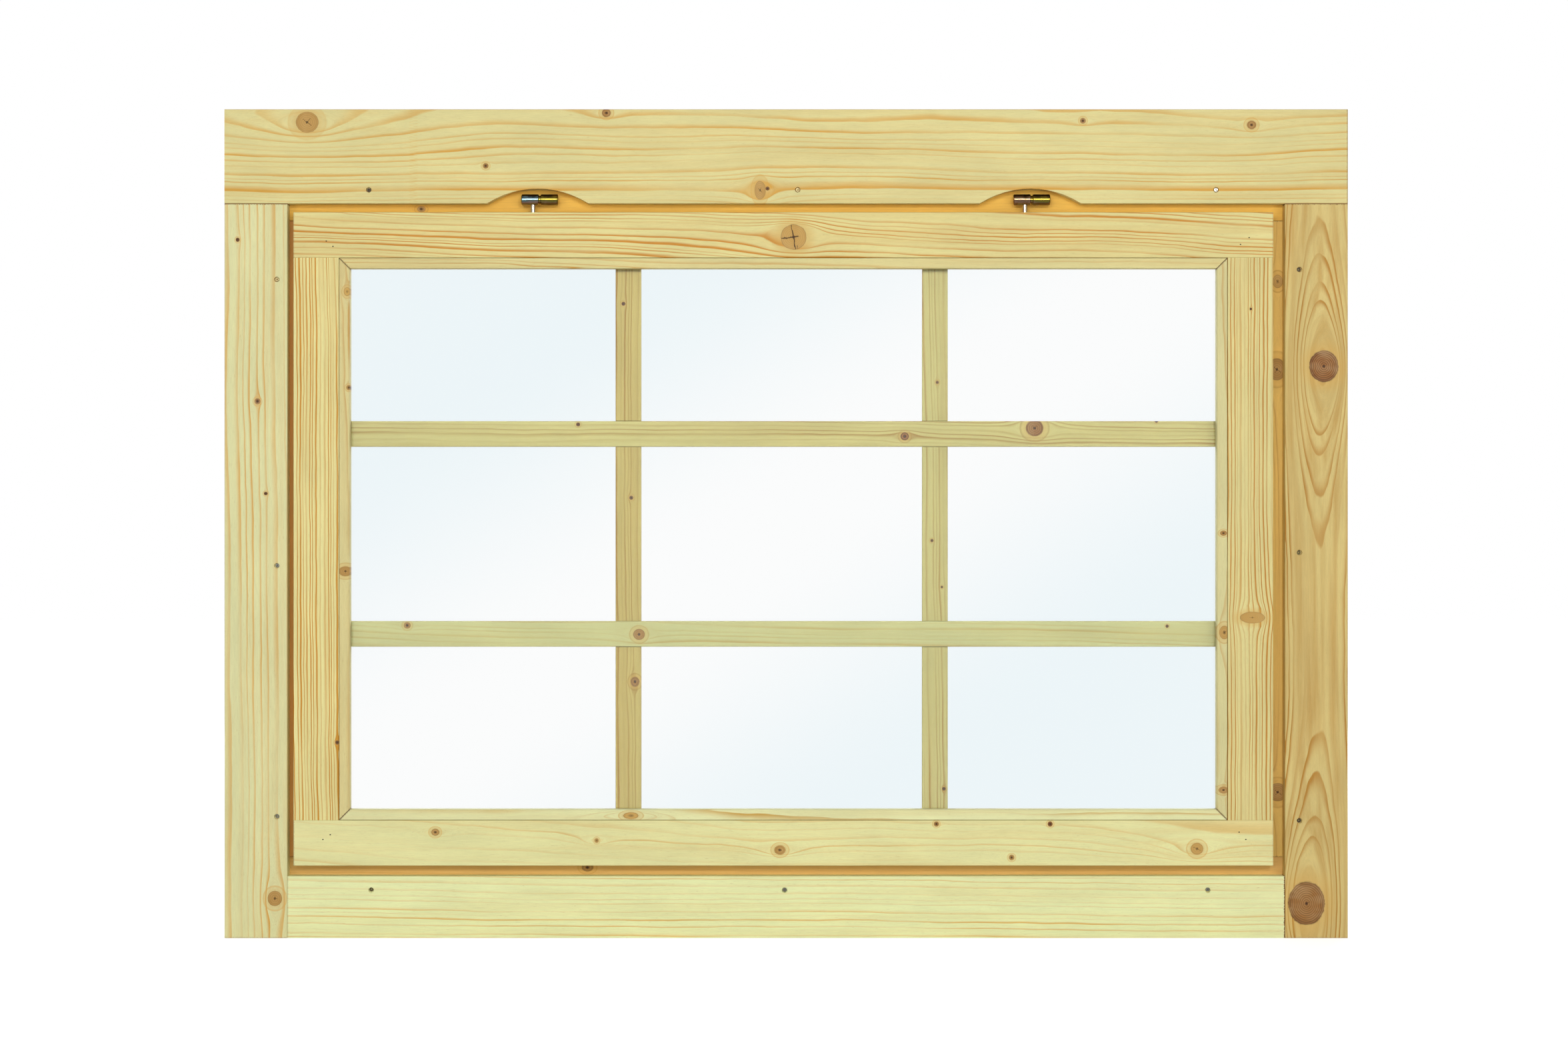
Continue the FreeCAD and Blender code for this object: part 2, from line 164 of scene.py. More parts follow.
BOARDS = (
    Board(
        "casing_head", "X", "#e2d797", "#d8a23e", (966, 36), 6.2, 1.3, (-0.006, 0.012), 22, 1.0,
        (
            Knot(-573, 937, 13.5, 12.5, 0.42, 20, 0.94, 0.6),
            Knot(-214, 947.5, 5.5, 5, 0.75, 5),
            Knot(-360, 883.5, 3.4, 3.2, 0.7, 3),
            Knot(-28, 854, 6.6, 11, 0.4, 6),
            Knot(-19, 856, 2.4, 2.4, 0.9),
            Knot(362.5, 938, 3.4, 3.4, 0.85, 3),
            Knot(566.5, 933, 5.6, 5.2, 0.7, 5),
        ),
        finger_joint=-447.5, sharpness=2.0,
    ),
    Board(
        "casing_left", "Z", "#e3e0a8", "#dca850", (-712, 24), 9.0, 2.7, (0.014, 0.006), 20, 1.1,
        (
            Knot(794, -660, 2.5, 2.3, 1.0, 2),
            Knot(598.5, -636, 3.5, 3.4, 1.0, 2),
            Knot(487, -626, 2, 2.2, 1.0),
            Knot(-3, -615, 9, 8.5, 0.5, 22),
        ),
        end_fray_and_shade=(0.4, 1.3),
    ),
    Board(
        "casing_right", "Z", "#dac37d", "#b88430", (646, 34), 5.4, 3.9, (0.0, 0.004), 10, 1.7,
        (Knot(641, 654, 19, 17.5, 1.0, 40, 0.8, 0.15), Knot(-9, 633, 26, 22, 0.9, 38, 0.8, 0.15)),
        sharpness=1.5, bands=0.55, end_fray_and_shade=(0.4, 1.1),
    ),
    Board(
        "casing_bottom", "X", "#eef1b6", "#e4bc68", (80, 42), 5.6, 4.4, (0.003, 0.01), 10, 0.9,
        end_fray_and_shade=(0.3, 1.6),
    ),
    # The frame boards' outer faces carry painted light: warm light bounced in the gap round the sash, and
    # painted shade where that gap is narrow
    Board(
        "frame_head", "X", "#e4d494", "#c8923c", (880, 40), 5.0, 5.2, (0.003, 0.0), 10, 0.35,
        (Knot(-440, 833, 5, 3.5, 0.55),), painted_gap_light="#f6c455",
    ),
    Board(
        "frame_sill", "X", "#e4d494", "#c8923e", (-30, 40), 5.0, 6.1, (0.003, 0.0), 10, 0.45,
        (Knot(-238, 32.5, 7, 5, 0.65),), painted_gap_light="#e3b669",
    ),
    Board(
        "frame_left_jamb", "Z", "#e2d292", "#b47c36", (-640, 30), 5.5, 7.6, (0.003, 0.0), 10, 0.3,
        painted_gap_light="#e0a052",
    ),
    # The right jamb's knots lie in the gap by the sash: their dark patches are partly knots and partly
    # painted shade, the gap's dark line next to the casing
    Board(
        "frame_right_jamb", "Z", "#e2d292", "#b67e34", (640, 30), 5.5, 8.2, (0.003, 0.0), 10, 0.7,
        (Knot(745, 601, 8, 6, 0.3), Knot(638, 600, 13, 11, 0.55, 6), Knot(124, 601, 11, 11, 0.55, 6)),
        painted_gap_light="#efc86b",
    ),
    Board(
        "sash_top_rail", "X", "#e4d894", "#cc8a26", (880, 20), 5.2, 9.1, (0.045, 0.0), 26, 1.4,
        (Knot(12.5, 797, 15.5, 15, 0.3, 7, 0.8, 1.5),), sharpness=2.2, end_fray_and_shade=(0.3, 0.2),
    ),
    Board(
        "sash_bottom_rail", "X", "#ebe7a8", "#dca84a", (130, 60), 7.5, 10.4, (0.02, 0.02), 24, 0.6,
        (
            Knot(-420.5, 77.5, 4.8, 4.2, 0.55, 9),
            Knot(-225.5, 67.5, 2.6, 2.8, 0.35, 14),
            Knot(-4, 56, 6.6, 5.5, 0.5, 16),
            Knot(185, 87.5, 3, 3, 0.7),
            Knot(276, 47, 3.2, 3.2, 0.6, 8),
            Knot(322.5, 87.5, 3, 3, 1.0),
            Knot(500, 57.5, 7.6, 7, 0.3, 18, 0.94, 0.7),
        ),
        end_fray_and_shade=(0.5, 0.15),
    ),
    Board(
        "sash_left_stile", "Z", "#ebe09b", "#cc8e24", (-668, 8), 3.8, 11.8, (0.01, 0.004), 12, 2.1,
        (Knot(186, -539, 2.6, 2.4, 0.9),), sharpness=1.9,
    ),
    Board(
        "sash_right_stile", "Z", "#e2d592", "#c48a30", (482, 8), 3.8, 12.5, (0.006, 0.004), 9, 1.7,
        (Knot(337, 567, 7, 15, 0.3, 8, 0.45, 0.3), Knot(710, 565, 1.6, 1.4, 1.0)),
    ),
    Board("bead_top", "X", "#e0d494", "#ca943c", (800, 20), 4.6, 13.3, (0.02, 0.0), 14, 1.4, mitred=True),
    Board(
        "bead_bottom", "X", "#eae9b0", "#cfa44e", (80, 20), 5.0, 14.1, (0.02, 0.0), 14, 1.3,
        (Knot(-184, 97.5, 9, 4, 0.25, 12, 0.94, 0.3),), mitred=True,
    ),
    Board(
        "bead_left", "Z", "#dfd294", "#c8943e", (-560, 20), 5.0, 15.7, (0.01, 0.0), 14, 0.9,
        (Knot(393, -529, 6, 8, 0.5, 3), Knot(615, -525, 3, 3, 0.5), Knot(731, -527, 5, 4, 0.15, 3)),
        mitred=True,
    ),
    Board(
        "bead_right", "Z", "#dad298", "#c8943e", (560, 20), 4.8, 16.9, (0.01, 0.0), 14, 0.9,
        (
            Knot(439, 532, 3, 4, 0.65),
            Knot(319, 533, 8, 6, 0.35, 4),
            Knot(128.5, 532, 4, 6, 0.6, 3),
        ),
        mitred=True,
    ),
    Board(
        "bar_upper", "X", "#d4c781", "#aa7c2a", (530, 16), 4.8, 17.4, (0.02, 0.01), 16, 0.9,
        (
            Knot(-249, 571, 2.4, 2.4, 1.0),
            Knot(147.5, 556.5, 5, 4.6, 1.0, 6),
            Knot(305, 566.5, 10.5, 9.8, 0.9, 12),
            Knot(453, 575, 2, 2, 1.0),
        ),
        sharpness=1.5,
    ),
    Board(
        "bar_lower", "X", "#d0cb8d", "#bc9440", (354, 16), 6.4, 18.6, (0.02, 0.01), 16, 0.5,
        (Knot(-456.5, 327, 4, 3.8, 0.7, 6), Knot(-175, 316, 7, 6.5, 0.7, 12), Knot(466, 326, 2, 2, 1.0)),
        sharpness=1.5,
    ),
    Board(
        "bar_left", "Z", "#cdb76d", "#aa7c2a", (-240, 16), 4.8, 19.8, (0.01, 0.01), 14, 0.9,
        (
            Knot(717.5, -194, 2.4, 2.4, 1.0),
            Knot(482, -184.5, 2.6, 2.6, 1.0),
            Knot(258.5, -180, 6, 5.4, 0.75, 6),
        ),
        sharpness=1.5,
    ),
    Board(
        "bar_right", "Z", "#cdc07c", "#aa7e2e", (240, 16), 5.0, 20.5, (0.01, 0.01), 14, 0.9,
        (
            Knot(622, 187, 2.1, 2.1, 0.8),
            Knot(430, 180.5, 2.1, 2.1, 0.8),
            Knot(373.5, 192.5, 1.6, 1.6, 0.6),
            Knot(128.5, 195, 2.2, 2.2, 1.0),
        ),
        sharpness=1.5,
    ),
)


def group_sockets(tree, inputs, outputs):
    """Gives a node group its named sockets and returns its input and output nodes."""
    for name, kind in inputs:
        tree.interface.new_socket(name, in_out="INPUT", socket_type=kind)
    for name, kind in outputs:
        tree.interface.new_socket(name, in_out="OUTPUT", socket_type=kind)
    return add(tree, "NodeGroupInput"), add(tree, "NodeGroupOutput")


NUMBER, VECTOR, COLOUR = "NodeSocketFloat", "NodeSocketVector", "NodeSocketColor"
GRAIN_SOCKETS = (
    ("Grain", VECTOR),
    ("Offset", VECTOR),
    ("Tone", NUMBER),
    ("Cracks", NUMBER),
    ("Girth", NUMBER),
)
KNOT_SOCKETS = (
    ("Centre", VECTOR),
    ("Size", VECTOR),
    ("Darkness", NUMBER),
    ("Rise", NUMBER),
    ("Parting", NUMBER),
    ("Drying", NUMBER),
    ("Place", VECTOR),
)


# How fast a knot's hold on the fibres and the trunk's swelling over it die away: along the grain, across it
KNOT_HOLD = (0.45, 1, 0)
KNOT_SWELL = (0.2, 0.6, 0)


def knot_group():
    """A branch that the trunk grew round: the fibres part along the grain and close again past it.

    Offset points from the nearest knot's heart, in knot radii, so its length is 1 on the rim.
    """
    tree = bpy.data.node_groups.new("Knot in spruce", "ShaderNodeTree")
    given, result = group_sockets(tree, GRAIN_SOCKETS + KNOT_SOCKETS, GRAIN_SOCKETS)
    grain, size = given.outputs["Grain"], given.outputs["Size"]
    apart = {0: given.outputs["Place"], 1: given.outputs["Centre"]}
    away = add(tree, VECTOR_MATH, apart, operation="SUBTRACT").outputs[0]
    flat = add(tree, VECTOR_MATH, {0: away, 1: (1, 1, 0)}, operation="MULTIPLY").outputs[0]
    offset = add(tree, VECTOR_MATH, {0: flat, 1: size}, operation="DIVIDE").outputs[0]
    drawn = add(tree, VECTOR_MATH, {0: offset, 1: KNOT_HOLD}, operation="MULTIPLY").outputs[0]
    reach = add(tree, VECTOR_MATH, {0: drawn, 1: drawn}, operation="DOT_PRODUCT").outputs["Value"]
    most = given.outputs["Parting"]
    parting = add(tree, MATH, {0: most, 1: reach}, operation="DIVIDE").outputs[0]
    parting = add(tree, MATH, {0: parting, 1: most}, operation="MINIMUM").outputs[0]
    sideways = add(tree, VECTOR_MATH, {0: away, "Scale": parting}, operation="SCALE").outputs[0]
    sideways = add(tree, VECTOR_MATH, {0: sideways, 1: (0, 1, 0)}, operation="MULTIPLY").outputs[0]
    flow = add(tree, VECTOR_MATH, {0: grain, 1: sideways}, operation="SUBTRACT").outputs[0]

    # The trunk swells over the branch, which closes the rings round it
    swell = add(tree, VECTOR_MATH, {0: offset, 1: KNOT_SWELL}, operation="MULTIPLY").outputs[0]
    swell = add(tree, VECTOR_MATH, {0: swell, 1: swell}, operation="DOT_PRODUCT").outputs["Value"]
    swell = add(tree, MATH, {0: swell, 1: 1.0}, operation="ADD").outputs[0]
    rise = add(tree, MATH, {0: given.outputs["Rise"], 1: swell}, operation="DIVIDE").outputs[0]
    lift = add(tree, "ShaderNodeCombineXYZ", {2: rise}).outputs[0]
    flow = add(tree, VECTOR_MATH, {0: flow, 1: lift}, operation="ADD").outputs[0]

    here = add(tree, VECTOR_MATH, {0: offset}, operation="LENGTH").outputs["Value"]
    before = add(tree, VECTOR_MATH, {0: given.outputs["Offset"]}, operation="LENGTH").outputs["Value"]
    closer = add(tree, MATH, {0: here, 1: before}, operation="LESS_THAN").outputs[0]
    nearest = {0: closer, 4: given.outputs["Offset"], 5: offset}
    nearest = add(tree, MIX, nearest, data_type="VECTOR").outputs[1]
    girth = add(tree, SPLIT, {0: size}).outputs[1]
    mine = {"Tone": given.outputs["Darkness"], "Cracks": given.outputs["Drying"], "Girth": girth}
    passed = {"Grain": flow, "Offset": nearest}
    for name, own in mine.items():
        choice = {0: closer, 2: given.outputs[name], 3: own}
        passed[name] = add(tree, MIX, choice, data_type="FLOAT").outputs[0]
    for name, socket in passed.items():
        tree.links.new(socket, result.inputs[name])
    return tree


# Finger joint in the head board, in mm: tooth spacing and length, reach of the glue stain, jump in the grain
FINGER_PITCH = 1.75
FINGER_LENGTH = 10.0
FINGER_STAIN = 1.6
FINGER_SHIFT = (3.0, 0.7, 0.3)

# A year of growth: where its late wood starts and ends, and how faint and how strong its line can be
LATE_WOOD, YEAR_END = 0.3, 0.93
FAINT_YEAR, STRONG_YEAR = 0.3, 1.2

# Good and bad years follow each other: their pace, and how many years they move a line by
PACE = 0.31
PACE_SHIFT = 2.4

# How far waviness moves a line, in mm
WAVER = 3.0

# A knot's rim is uneven by this share of its radius, and its own year rings have this spacing in mm
RIM_UNEVEN = 0.14
BRANCH_RING = 2.2

# Where the collar round a small knot starts to darken and where it ends, in knot radii
COLLAR_START, COLLAR_END, COLLAR_EDGE = 1.4, 1.7, 1.78

# An offset that is far from any knot, in knot radii
NO_KNOT = (100, 0, 0)

# Depth over which the painted gap light on an outer face gives way to the timber's own colour, in metres
FRONT_FROM, FRONT_TO = 1 * MM, 4 * MM

# How far one seed's noise lies from the next one's
SEED_STEP = (31.7, 17.3, 7.9)

# Noise drawn out along the grain: name, length and width of a patch in mm, detail, roughness. Real fibres and
# pores are too fine to show, so they are drawn about a millimetre wide.
FIGURES = (
    ("bow", 420, 90, 1.0, 0.5),
    ("waver", 60, 20, 2.0, 0.5),
    ("fade", 200, 24, 1.0, 0.5),
    ("band", 320, 9, 2.0, 0.5),
    ("fibre", 16, 0.8, 3.0, 0.65),
    ("pores", 7, 0.6, 1.0, 0.5),
    ("mottle", 110, 30, 2.0, 0.5),
    ("ragged", 4, 3, 2.0, 0.5),
    ("dry", 18, 14, 2.0, 0.6),
)


def year_lines(tree, given, figure):
    """How dark the late wood's line is: thin lines round the pith, some years fainter than others."""
    grain, seed = given.outputs["Grain"], given.outputs["Seed"]

    # Distance from the pith, then in years
    along = add(tree, SPLIT, {0: grain}).outputs[0]
    lean = add(tree, VECTOR_MATH, {0: given.outputs["Lean"], "Scale": along}, operation="SCALE")
    from_pith = add(tree, VECTOR_MATH, {0: grain, 1: given.outputs["Pith"]}, operation="SUBTRACT")
    from_pith = add(tree, VECTOR_MATH, {0: from_pith.outputs[0], 1: lean.outputs[0]}, operation="ADD")
    from_pith = add(tree, VECTOR_MATH, {0: from_pith.outputs[0], 1: (0, 1, 1)}, operation="MULTIPLY")
    radius = add(tree, VECTOR_MATH, {0: from_pith.outputs[0]}, operation="LENGTH").outputs["Value"]
    sideways = add(tree, SPLIT, {0: from_pith.outputs[0]}).outputs[1]
    steep = add(tree, MATH, {0: sideways, 1: radius}, operation="DIVIDE").outputs[0]
    steep = add(tree, MATH, {0: steep}, operation="ABSOLUTE").outputs[0]
    radius = {0: figure["bow"], 1: given.outputs["Bow"], 2: radius}
    radius = add(tree, MATH, radius, operation="MULTIPLY_ADD").outputs[0]
    radius = add(tree, MATH, {0: figure["waver"], 1: WAVER, 2: radius}, operation="MULTIPLY_ADD").outputs[0]
    years = add(tree, MATH, {0: radius, 1: given.outputs["Ring"]}, operation="DIVIDE").outputs[0]
    pace = add(tree, MATH, {0: years, 1: PACE, 2: seed}, operation="MULTIPLY_ADD").outputs[0]
    seasons = add(tree, NOISE, {"W": pace, "Scale": 1.0, "Detail": 1.0}, noise_dimensions="1D")
    years = {0: seasons.outputs["Fac"], 1: PACE_SHIFT, 2: years}
    years = add(tree, MATH, years, operation="MULTIPLY_ADD").outputs[0]
    season = add(tree, MATH, {0: years}, operation="FRACT").outputs[0]
    year = add(tree, MATH, {0: years}, operation="FLOOR").outputs[0]
    year = add(tree, MATH, {0: seed, 1: 13.7, 2: year}, operation="MULTIPLY_ADD").outputs[0]
    growth = add(tree, "ShaderNodeTexWhiteNoise", {"W": year}, noise_dimensions="1D").outputs["Value"]
    growth = add(tree, MAP_RANGE, {0: growth, 3: FAINT_YEAR, 4: STRONG_YEAR}).outputs[0]
    summer = {0: season, 1: LATE_WOOD, 2: YEAR_END}
    summer = add(tree, MAP_RANGE, summer, interpolation_type="SMOOTHSTEP").outputs[0]
    summer = add(tree, MATH, {0: summer, 1: given.outputs["Sharpness"]}, operation="POWER").outputs[0]
    winter = add(tree, MAP_RANGE, {0: season, 1: YEAR_END, 2: 1.0, 3: 1.0, 4: 0.0}).outputs[0]
    line = add(tree, MATH, {0: summer, 1: winter}, operation="MULTIPLY").outputs[0]
    line = add(tree, MATH, {0: line, 1: growth}, operation="MULTIPLY").outputs[0]
    line = add(tree, MATH, {0: line, 1: given.outputs["Strength"]}, operation="MULTIPLY").outputs[0]
    # Rings that the saw met flat spread out and look fainter
    edge_on = add(tree, MAP_RANGE, {0: steep, 1: 0.1, 2: 0.9, 3: 0.5, 4: 1.05}).outputs[0]
    line = add(tree, MATH, {0: line, 1: edge_on}, operation="MULTIPLY").outputs[0]
    fade = add(tree, MAP_RANGE, {0: figure["fade"], 1: 0.3, 2: 0.7, 3: 0.35, 4: 1.15}).outputs[0]
    line = add(tree, MATH, {0: line, 1: fade}, operation="MULTIPLY", use_clamp=True).outputs[0]
    return line


def knotty(tree, given, figure, colours, wood):
    """The wood with its knots, and the cracks in them."""
    seed = given.outputs["Seed"]

    # Knots, from the warm halo and the collar inwards: bark rim, branch wood with its rings, heart, cracks
    offset = given.outputs["Offset"]
    radii = add(tree, VECTOR_MATH, {0: offset}, operation="LENGTH").outputs["Value"]
    ragged = add(tree, MATH, {0: figure["ragged"], 1: 0.5}, operation="SUBTRACT").outputs[0]
    near = add(tree, MATH, {0: ragged, 1: RIM_UNEVEN, 2: radii}, operation="MULTIPLY_ADD").outputs[0]
    halo = {0: near, 1: 1.0, 2: 2.0, 3: 0.4, 4: 0.0}
    halo = add(tree, MAP_RANGE, halo, interpolation_type="SMOOTHSTEP").outputs[0]
    wood = add(tree, MIX, {0: halo, 6: wood, 7: opaque(colours.halo)}, data_type="RGBA").outputs[2]
    # The trunk's last ring before it closed on a small branch
    small = add(tree, MAP_RANGE, {0: given.outputs["Girth"], 1: 9.0, 2: 15.0, 3: 1.0, 4: 0.0}).outputs[0]
    collar = {0: near, 1: COLLAR_START, 2: COLLAR_END, 3: 0.0, 4: 0.5}
    collar = add(tree, MAP_RANGE, collar, interpolation_type="SMOOTHSTEP").outputs[0]
    backdrop_and_reflection = add(tree, MAP_RANGE, {0: near, 1: COLLAR_END, 2: COLLAR_EDGE, 3: small, 4: 0.0}).outputs[0]
    collar = add(tree, MATH, {0: collar, 1: backdrop_and_reflection}, operation="MULTIPLY").outputs[0]
    wood = add(tree, MIX, {0: collar, 6: wood, 7: given.outputs["Late"]}, data_type="RGBA").outputs[2]
    reach = {0: radii, 1: given.outputs["Girth"], 2: ragged}
    reach = add(tree, MATH, reach, operation="MULTIPLY_ADD").outputs[0]
    rings = add(tree, MATH, {0: reach, 1: math.tau / BRANCH_RING}, operation="MULTIPLY").outputs[0]
    rings = add(tree, MATH, {0: rings}, operation="SINE").outputs[0]
    rings = add(tree, MAP_RANGE, {0: rings, 1: -0.2, 2: 1.0, 3: 0.74, 4: 1.38}).outputs[0]
    branch = add(tree, "ShaderNodeValToRGB", {0: near})
    stops = branch.color_ramp.elements
    stops[0].position, stops[0].color = 0.7, opaque(colours.knot_wood)
    stops[1].position, stops[1].color = 1.0, opaque(colours.knot_rim)
    dry = add(tree, MAP_RANGE, {0: figure["dry"], 1: 0.45, 2: 0.7, 3: 0.0, 4: 0.7}).outputs[0]
    wood_tones = {0: dry, 6: branch.outputs[0], 7: opaque(colours.knot_dry)}
    branch = add(tree, MIX, wood_tones, data_type="RGBA").outputs[2]
    branch = add(tree, VECTOR_MATH, {0: branch, "Scale": rings}, operation="SCALE").outputs[0]
    rim = add(tree, MAP_RANGE, {0: near, 1: 0.84, 2: 1.0, 3: 0.0, 4: 0.6}).outputs[0]
    tone = add(tree, MATH, {0: given.outputs["Tone"], 1: rim}, operation="MAXIMUM").outputs[0]
    pale = {0: tone, 6: opaque(colours.knot_pale), 7: branch}
    branch = add(tree, MIX, pale, data_type="RGBA").outputs[2]
    heart = add(tree, MAP_RANGE, {0: reach, 1: 0.8, 2: 1.9, 3: 0.9, 4: 0.0}).outputs[0]
    deep = add(tree, MAP_RANGE, {0: given.outputs["Tone"], 1: 0.1, 2: 0.6, 3: 0.25, 4: 1.0}).outputs[0]
    heart = add(tree, MATH, {0: heart, 1: deep}, operation="MULTIPLY").outputs[0]
    branch = add(tree, MIX, {0: heart, 6: branch, 7: opaque(colours.knot_heart)}, data_type="RGBA").outputs[2]
    side, up, _ = add(tree, SPLIT, {0: offset}).outputs
    bearing = add(tree, MATH, {0: up, 1: side}, operation="ARCTAN2").outputs[0]
    bearing = add(tree, MATH, {0: ragged, 1: 0.8, 2: bearing}, operation="MULTIPLY_ADD").outputs[0]
    spoke = add(tree, MATH, {0: bearing, 1: 2.0, 2: seed}, operation="MULTIPLY_ADD").outputs[0]
    spoke = add(tree, MATH, {0: spoke}, operation="SINE").outputs[0]
    spoke = add(tree, MATH, {0: spoke}, operation="ABSOLUTE").outputs[0]
    spoke = add(tree, MATH, {0: spoke, 1: near}, operation="MULTIPLY").outputs[0]
    spoke = add(tree, MATH, {0: spoke, 1: given.outputs["Cracks"]}, operation="DIVIDE").outputs[0]
    crack = add(tree, MAP_RANGE, {0: spoke, 1: 0.03, 2: 0.10, 3: 0.9, 4: 0.0}).outputs[0]
    arms = add(tree, MATH, {0: seed, 1: 5.1, 2: bearing}, operation="MULTIPLY_ADD").outputs[0]
    arms = add(tree, NOISE, {"W": arms, "Scale": 1.3, "Detail": 0.0}, noise_dimensions="1D")
    arms = add(tree, MAP_RANGE, {0: arms.outputs["Fac"], 1: 0.3, 2: 0.7, 3: 0.25, 4: 1.0}).outputs[0]
    arms = add(tree, MATH, {0: arms, 1: given.outputs["Cracks"]}, operation="MULTIPLY").outputs[0]
    inner = add(tree, MATH, {0: near, 1: arms}, operation="LESS_THAN").outputs[0]
    crack = add(tree, MATH, {0: crack, 1: inner}, operation="MULTIPLY").outputs[0]
    branch = add(tree, MIX, {0: crack, 6: branch, 7: opaque(colours.crack)}, data_type="RGBA").outputs[2]
    inside = {0: near, 1: 0.96, 2: 1.06, 3: 1.0, 4: 0.0}
    inside = add(tree, MAP_RANGE, inside, interpolation_type="SMOOTHSTEP").outputs[0]
    wood = add(tree, MIX, {0: inside, 6: wood, 7: branch}, data_type="RGBA").outputs[2]
    return wood, crack


def spruce_group(colours):
    """Planed spruce: pale early wood, a thin darker late wood line each year, fine fibres and brown knots."""
    tree = bpy.data.node_groups.new("Planed spruce", "ShaderNodeTree")
    given, result = group_sockets(
        tree,
        GRAIN_SOCKETS
        + (
            ("Pith", VECTOR),
            ("Lean", VECTOR),
            ("Ring", NUMBER),
            ("Bow", NUMBER),
            ("Strength", NUMBER),
            ("Sharpness", NUMBER),
            ("Bands", NUMBER),
            ("Seed", NUMBER),
            ("Early", COLOUR),
            ("Late", COLOUR),
            ("End", NUMBER),
            ("Cut", NUMBER),
            ("Fray and shade", NUMBER),
        ),
        (("Color", COLOUR), ("Height", NUMBER), ("Roughness", NUMBER)),
    )
    grain, seed = given.outputs["Grain"], given.outputs["Seed"]
    shift = add(tree, VECTOR_MATH, {0: SEED_STEP, "Scale": seed}, operation="SCALE").outputs[0]
    figure = {}
    for name, along, across, detail, rough in FIGURES:
        stretch = (1 / along, 1 / across, 1 / across)
        place = add(tree, VECTOR_MATH, {0: grain, 1: stretch, 2: shift}, operation="MULTIPLY_ADD")
        noise = {"Vector": place.outputs[0], "Scale": 1.0, "Detail": detail, "Roughness": rough}
        figure[name] = add(tree, NOISE, noise).outputs["Fac"]
    line = year_lines(tree, given, figure)

    # Warm bands along the grain under the lines, then fibres, dark pores and slow changes of tone
    band = add(tree, MAP_RANGE, {0: figure["band"], 1: 0.42, 2: 0.72}).outputs[0]
    band = add(tree, MATH, {0: band, 1: given.outputs["Bands"]}, operation="MULTIPLY").outputs[0]
    warm = add(tree, MATH, {0: line, 1: band}, operation="MAXIMUM", use_clamp=True).outputs[0]
    wood = {0: warm, 6: given.outputs["Early"], 7: given.outputs["Late"]}
    wood = add(tree, MIX, wood, data_type="RGBA").outputs[2]
    fibre = add(tree, MAP_RANGE, {0: figure["fibre"], 1: 0.25, 2: 0.75, 3: 0.93, 4: 1.06}).outputs[0]
    mottle = add(tree, MAP_RANGE, {0: figure["mottle"], 1: 0.25, 2: 0.75, 3: 0.93, 4: 1.05}).outputs[0]
    bright = add(tree, MATH, {0: fibre, 1: mottle}, operation="MULTIPLY").outputs[0]
    wood = add(tree, VECTOR_MATH, {0: wood, "Scale": bright}, operation="SCALE").outputs[0]
    pores = add(tree, MAP_RANGE, {0: figure["pores"], 1: 0.66, 2: 0.8, 3: 0.0, 4: 0.3}).outputs[0]
    wood = add(tree, MIX, {0: pores, 6: wood, 7: opaque(colours.resin)}, data_type="RGBA").outputs[2]
    wood, crack = knotty(tree, given, figure, colours, wood)

    # The saw leaves a dark, torn edge at each end of a board; the same darkening is also painted
    # shade in the joint where two boards butt
    frayed_and_shaded = add(tree, MAP_RANGE, {0: figure["fibre"], 1: 0.35, 2: 0.65, 3: 0.6, 4: 2.4}).outputs[0]
    frayed_and_shaded = add(tree, MATH, {0: given.outputs["Cut"], 1: frayed_and_shaded}, operation="DIVIDE").outputs[0]
    frayed_and_shaded = add(tree, MAP_RANGE, {0: frayed_and_shaded, 1: 0.35, 2: 1.0, 3: 1.0, 4: 0.0}).outputs[0]
    edge = add(tree, MAP_RANGE, {0: given.outputs["End"], 1: 0.6, 2: 0.9, 3: 1.0, 4: 0.25}).outputs[0]
    edge = add(tree, MATH, {0: edge, 1: given.outputs["Fray and shade"]}, operation="MULTIPLY").outputs[0]
    frayed_and_shaded = add(tree, MATH, {0: frayed_and_shaded, 1: edge}, operation="MULTIPLY", use_clamp=True).outputs[0]
    wood = add(tree, MIX, {0: frayed_and_shaded, 6: wood, 7: opaque(colours.sawn_end_and_shade)}, data_type="RGBA").outputs[2]

    # End grain drinks light, late wood stands a little proud and shines more
    end = add(tree, MAP_RANGE, {0: given.outputs["End"], 1: 0.6, 2: 0.9, 3: 1.0, 4: 0.8}).outputs[0]
    wood = add(tree, VECTOR_MATH, {0: wood, "Scale": end}, operation="SCALE").outputs[0]
    height = add(tree, MATH, {0: line, 1: 0.6, 2: figure["fibre"]}, operation="MULTIPLY_ADD").outputs[0]
    height = add(tree, MATH, {0: crack, 1: -1.5, 2: height}, operation="MULTIPLY_ADD").outputs[0]
    rough = add(tree, MAP_RANGE, {0: line, 3: 0.62, 4: 0.5}).outputs[0]
    for name, socket in (("Color", wood), ("Height", height), ("Roughness", rough)):
        tree.links.new(socket, result.inputs[name])
    return tree


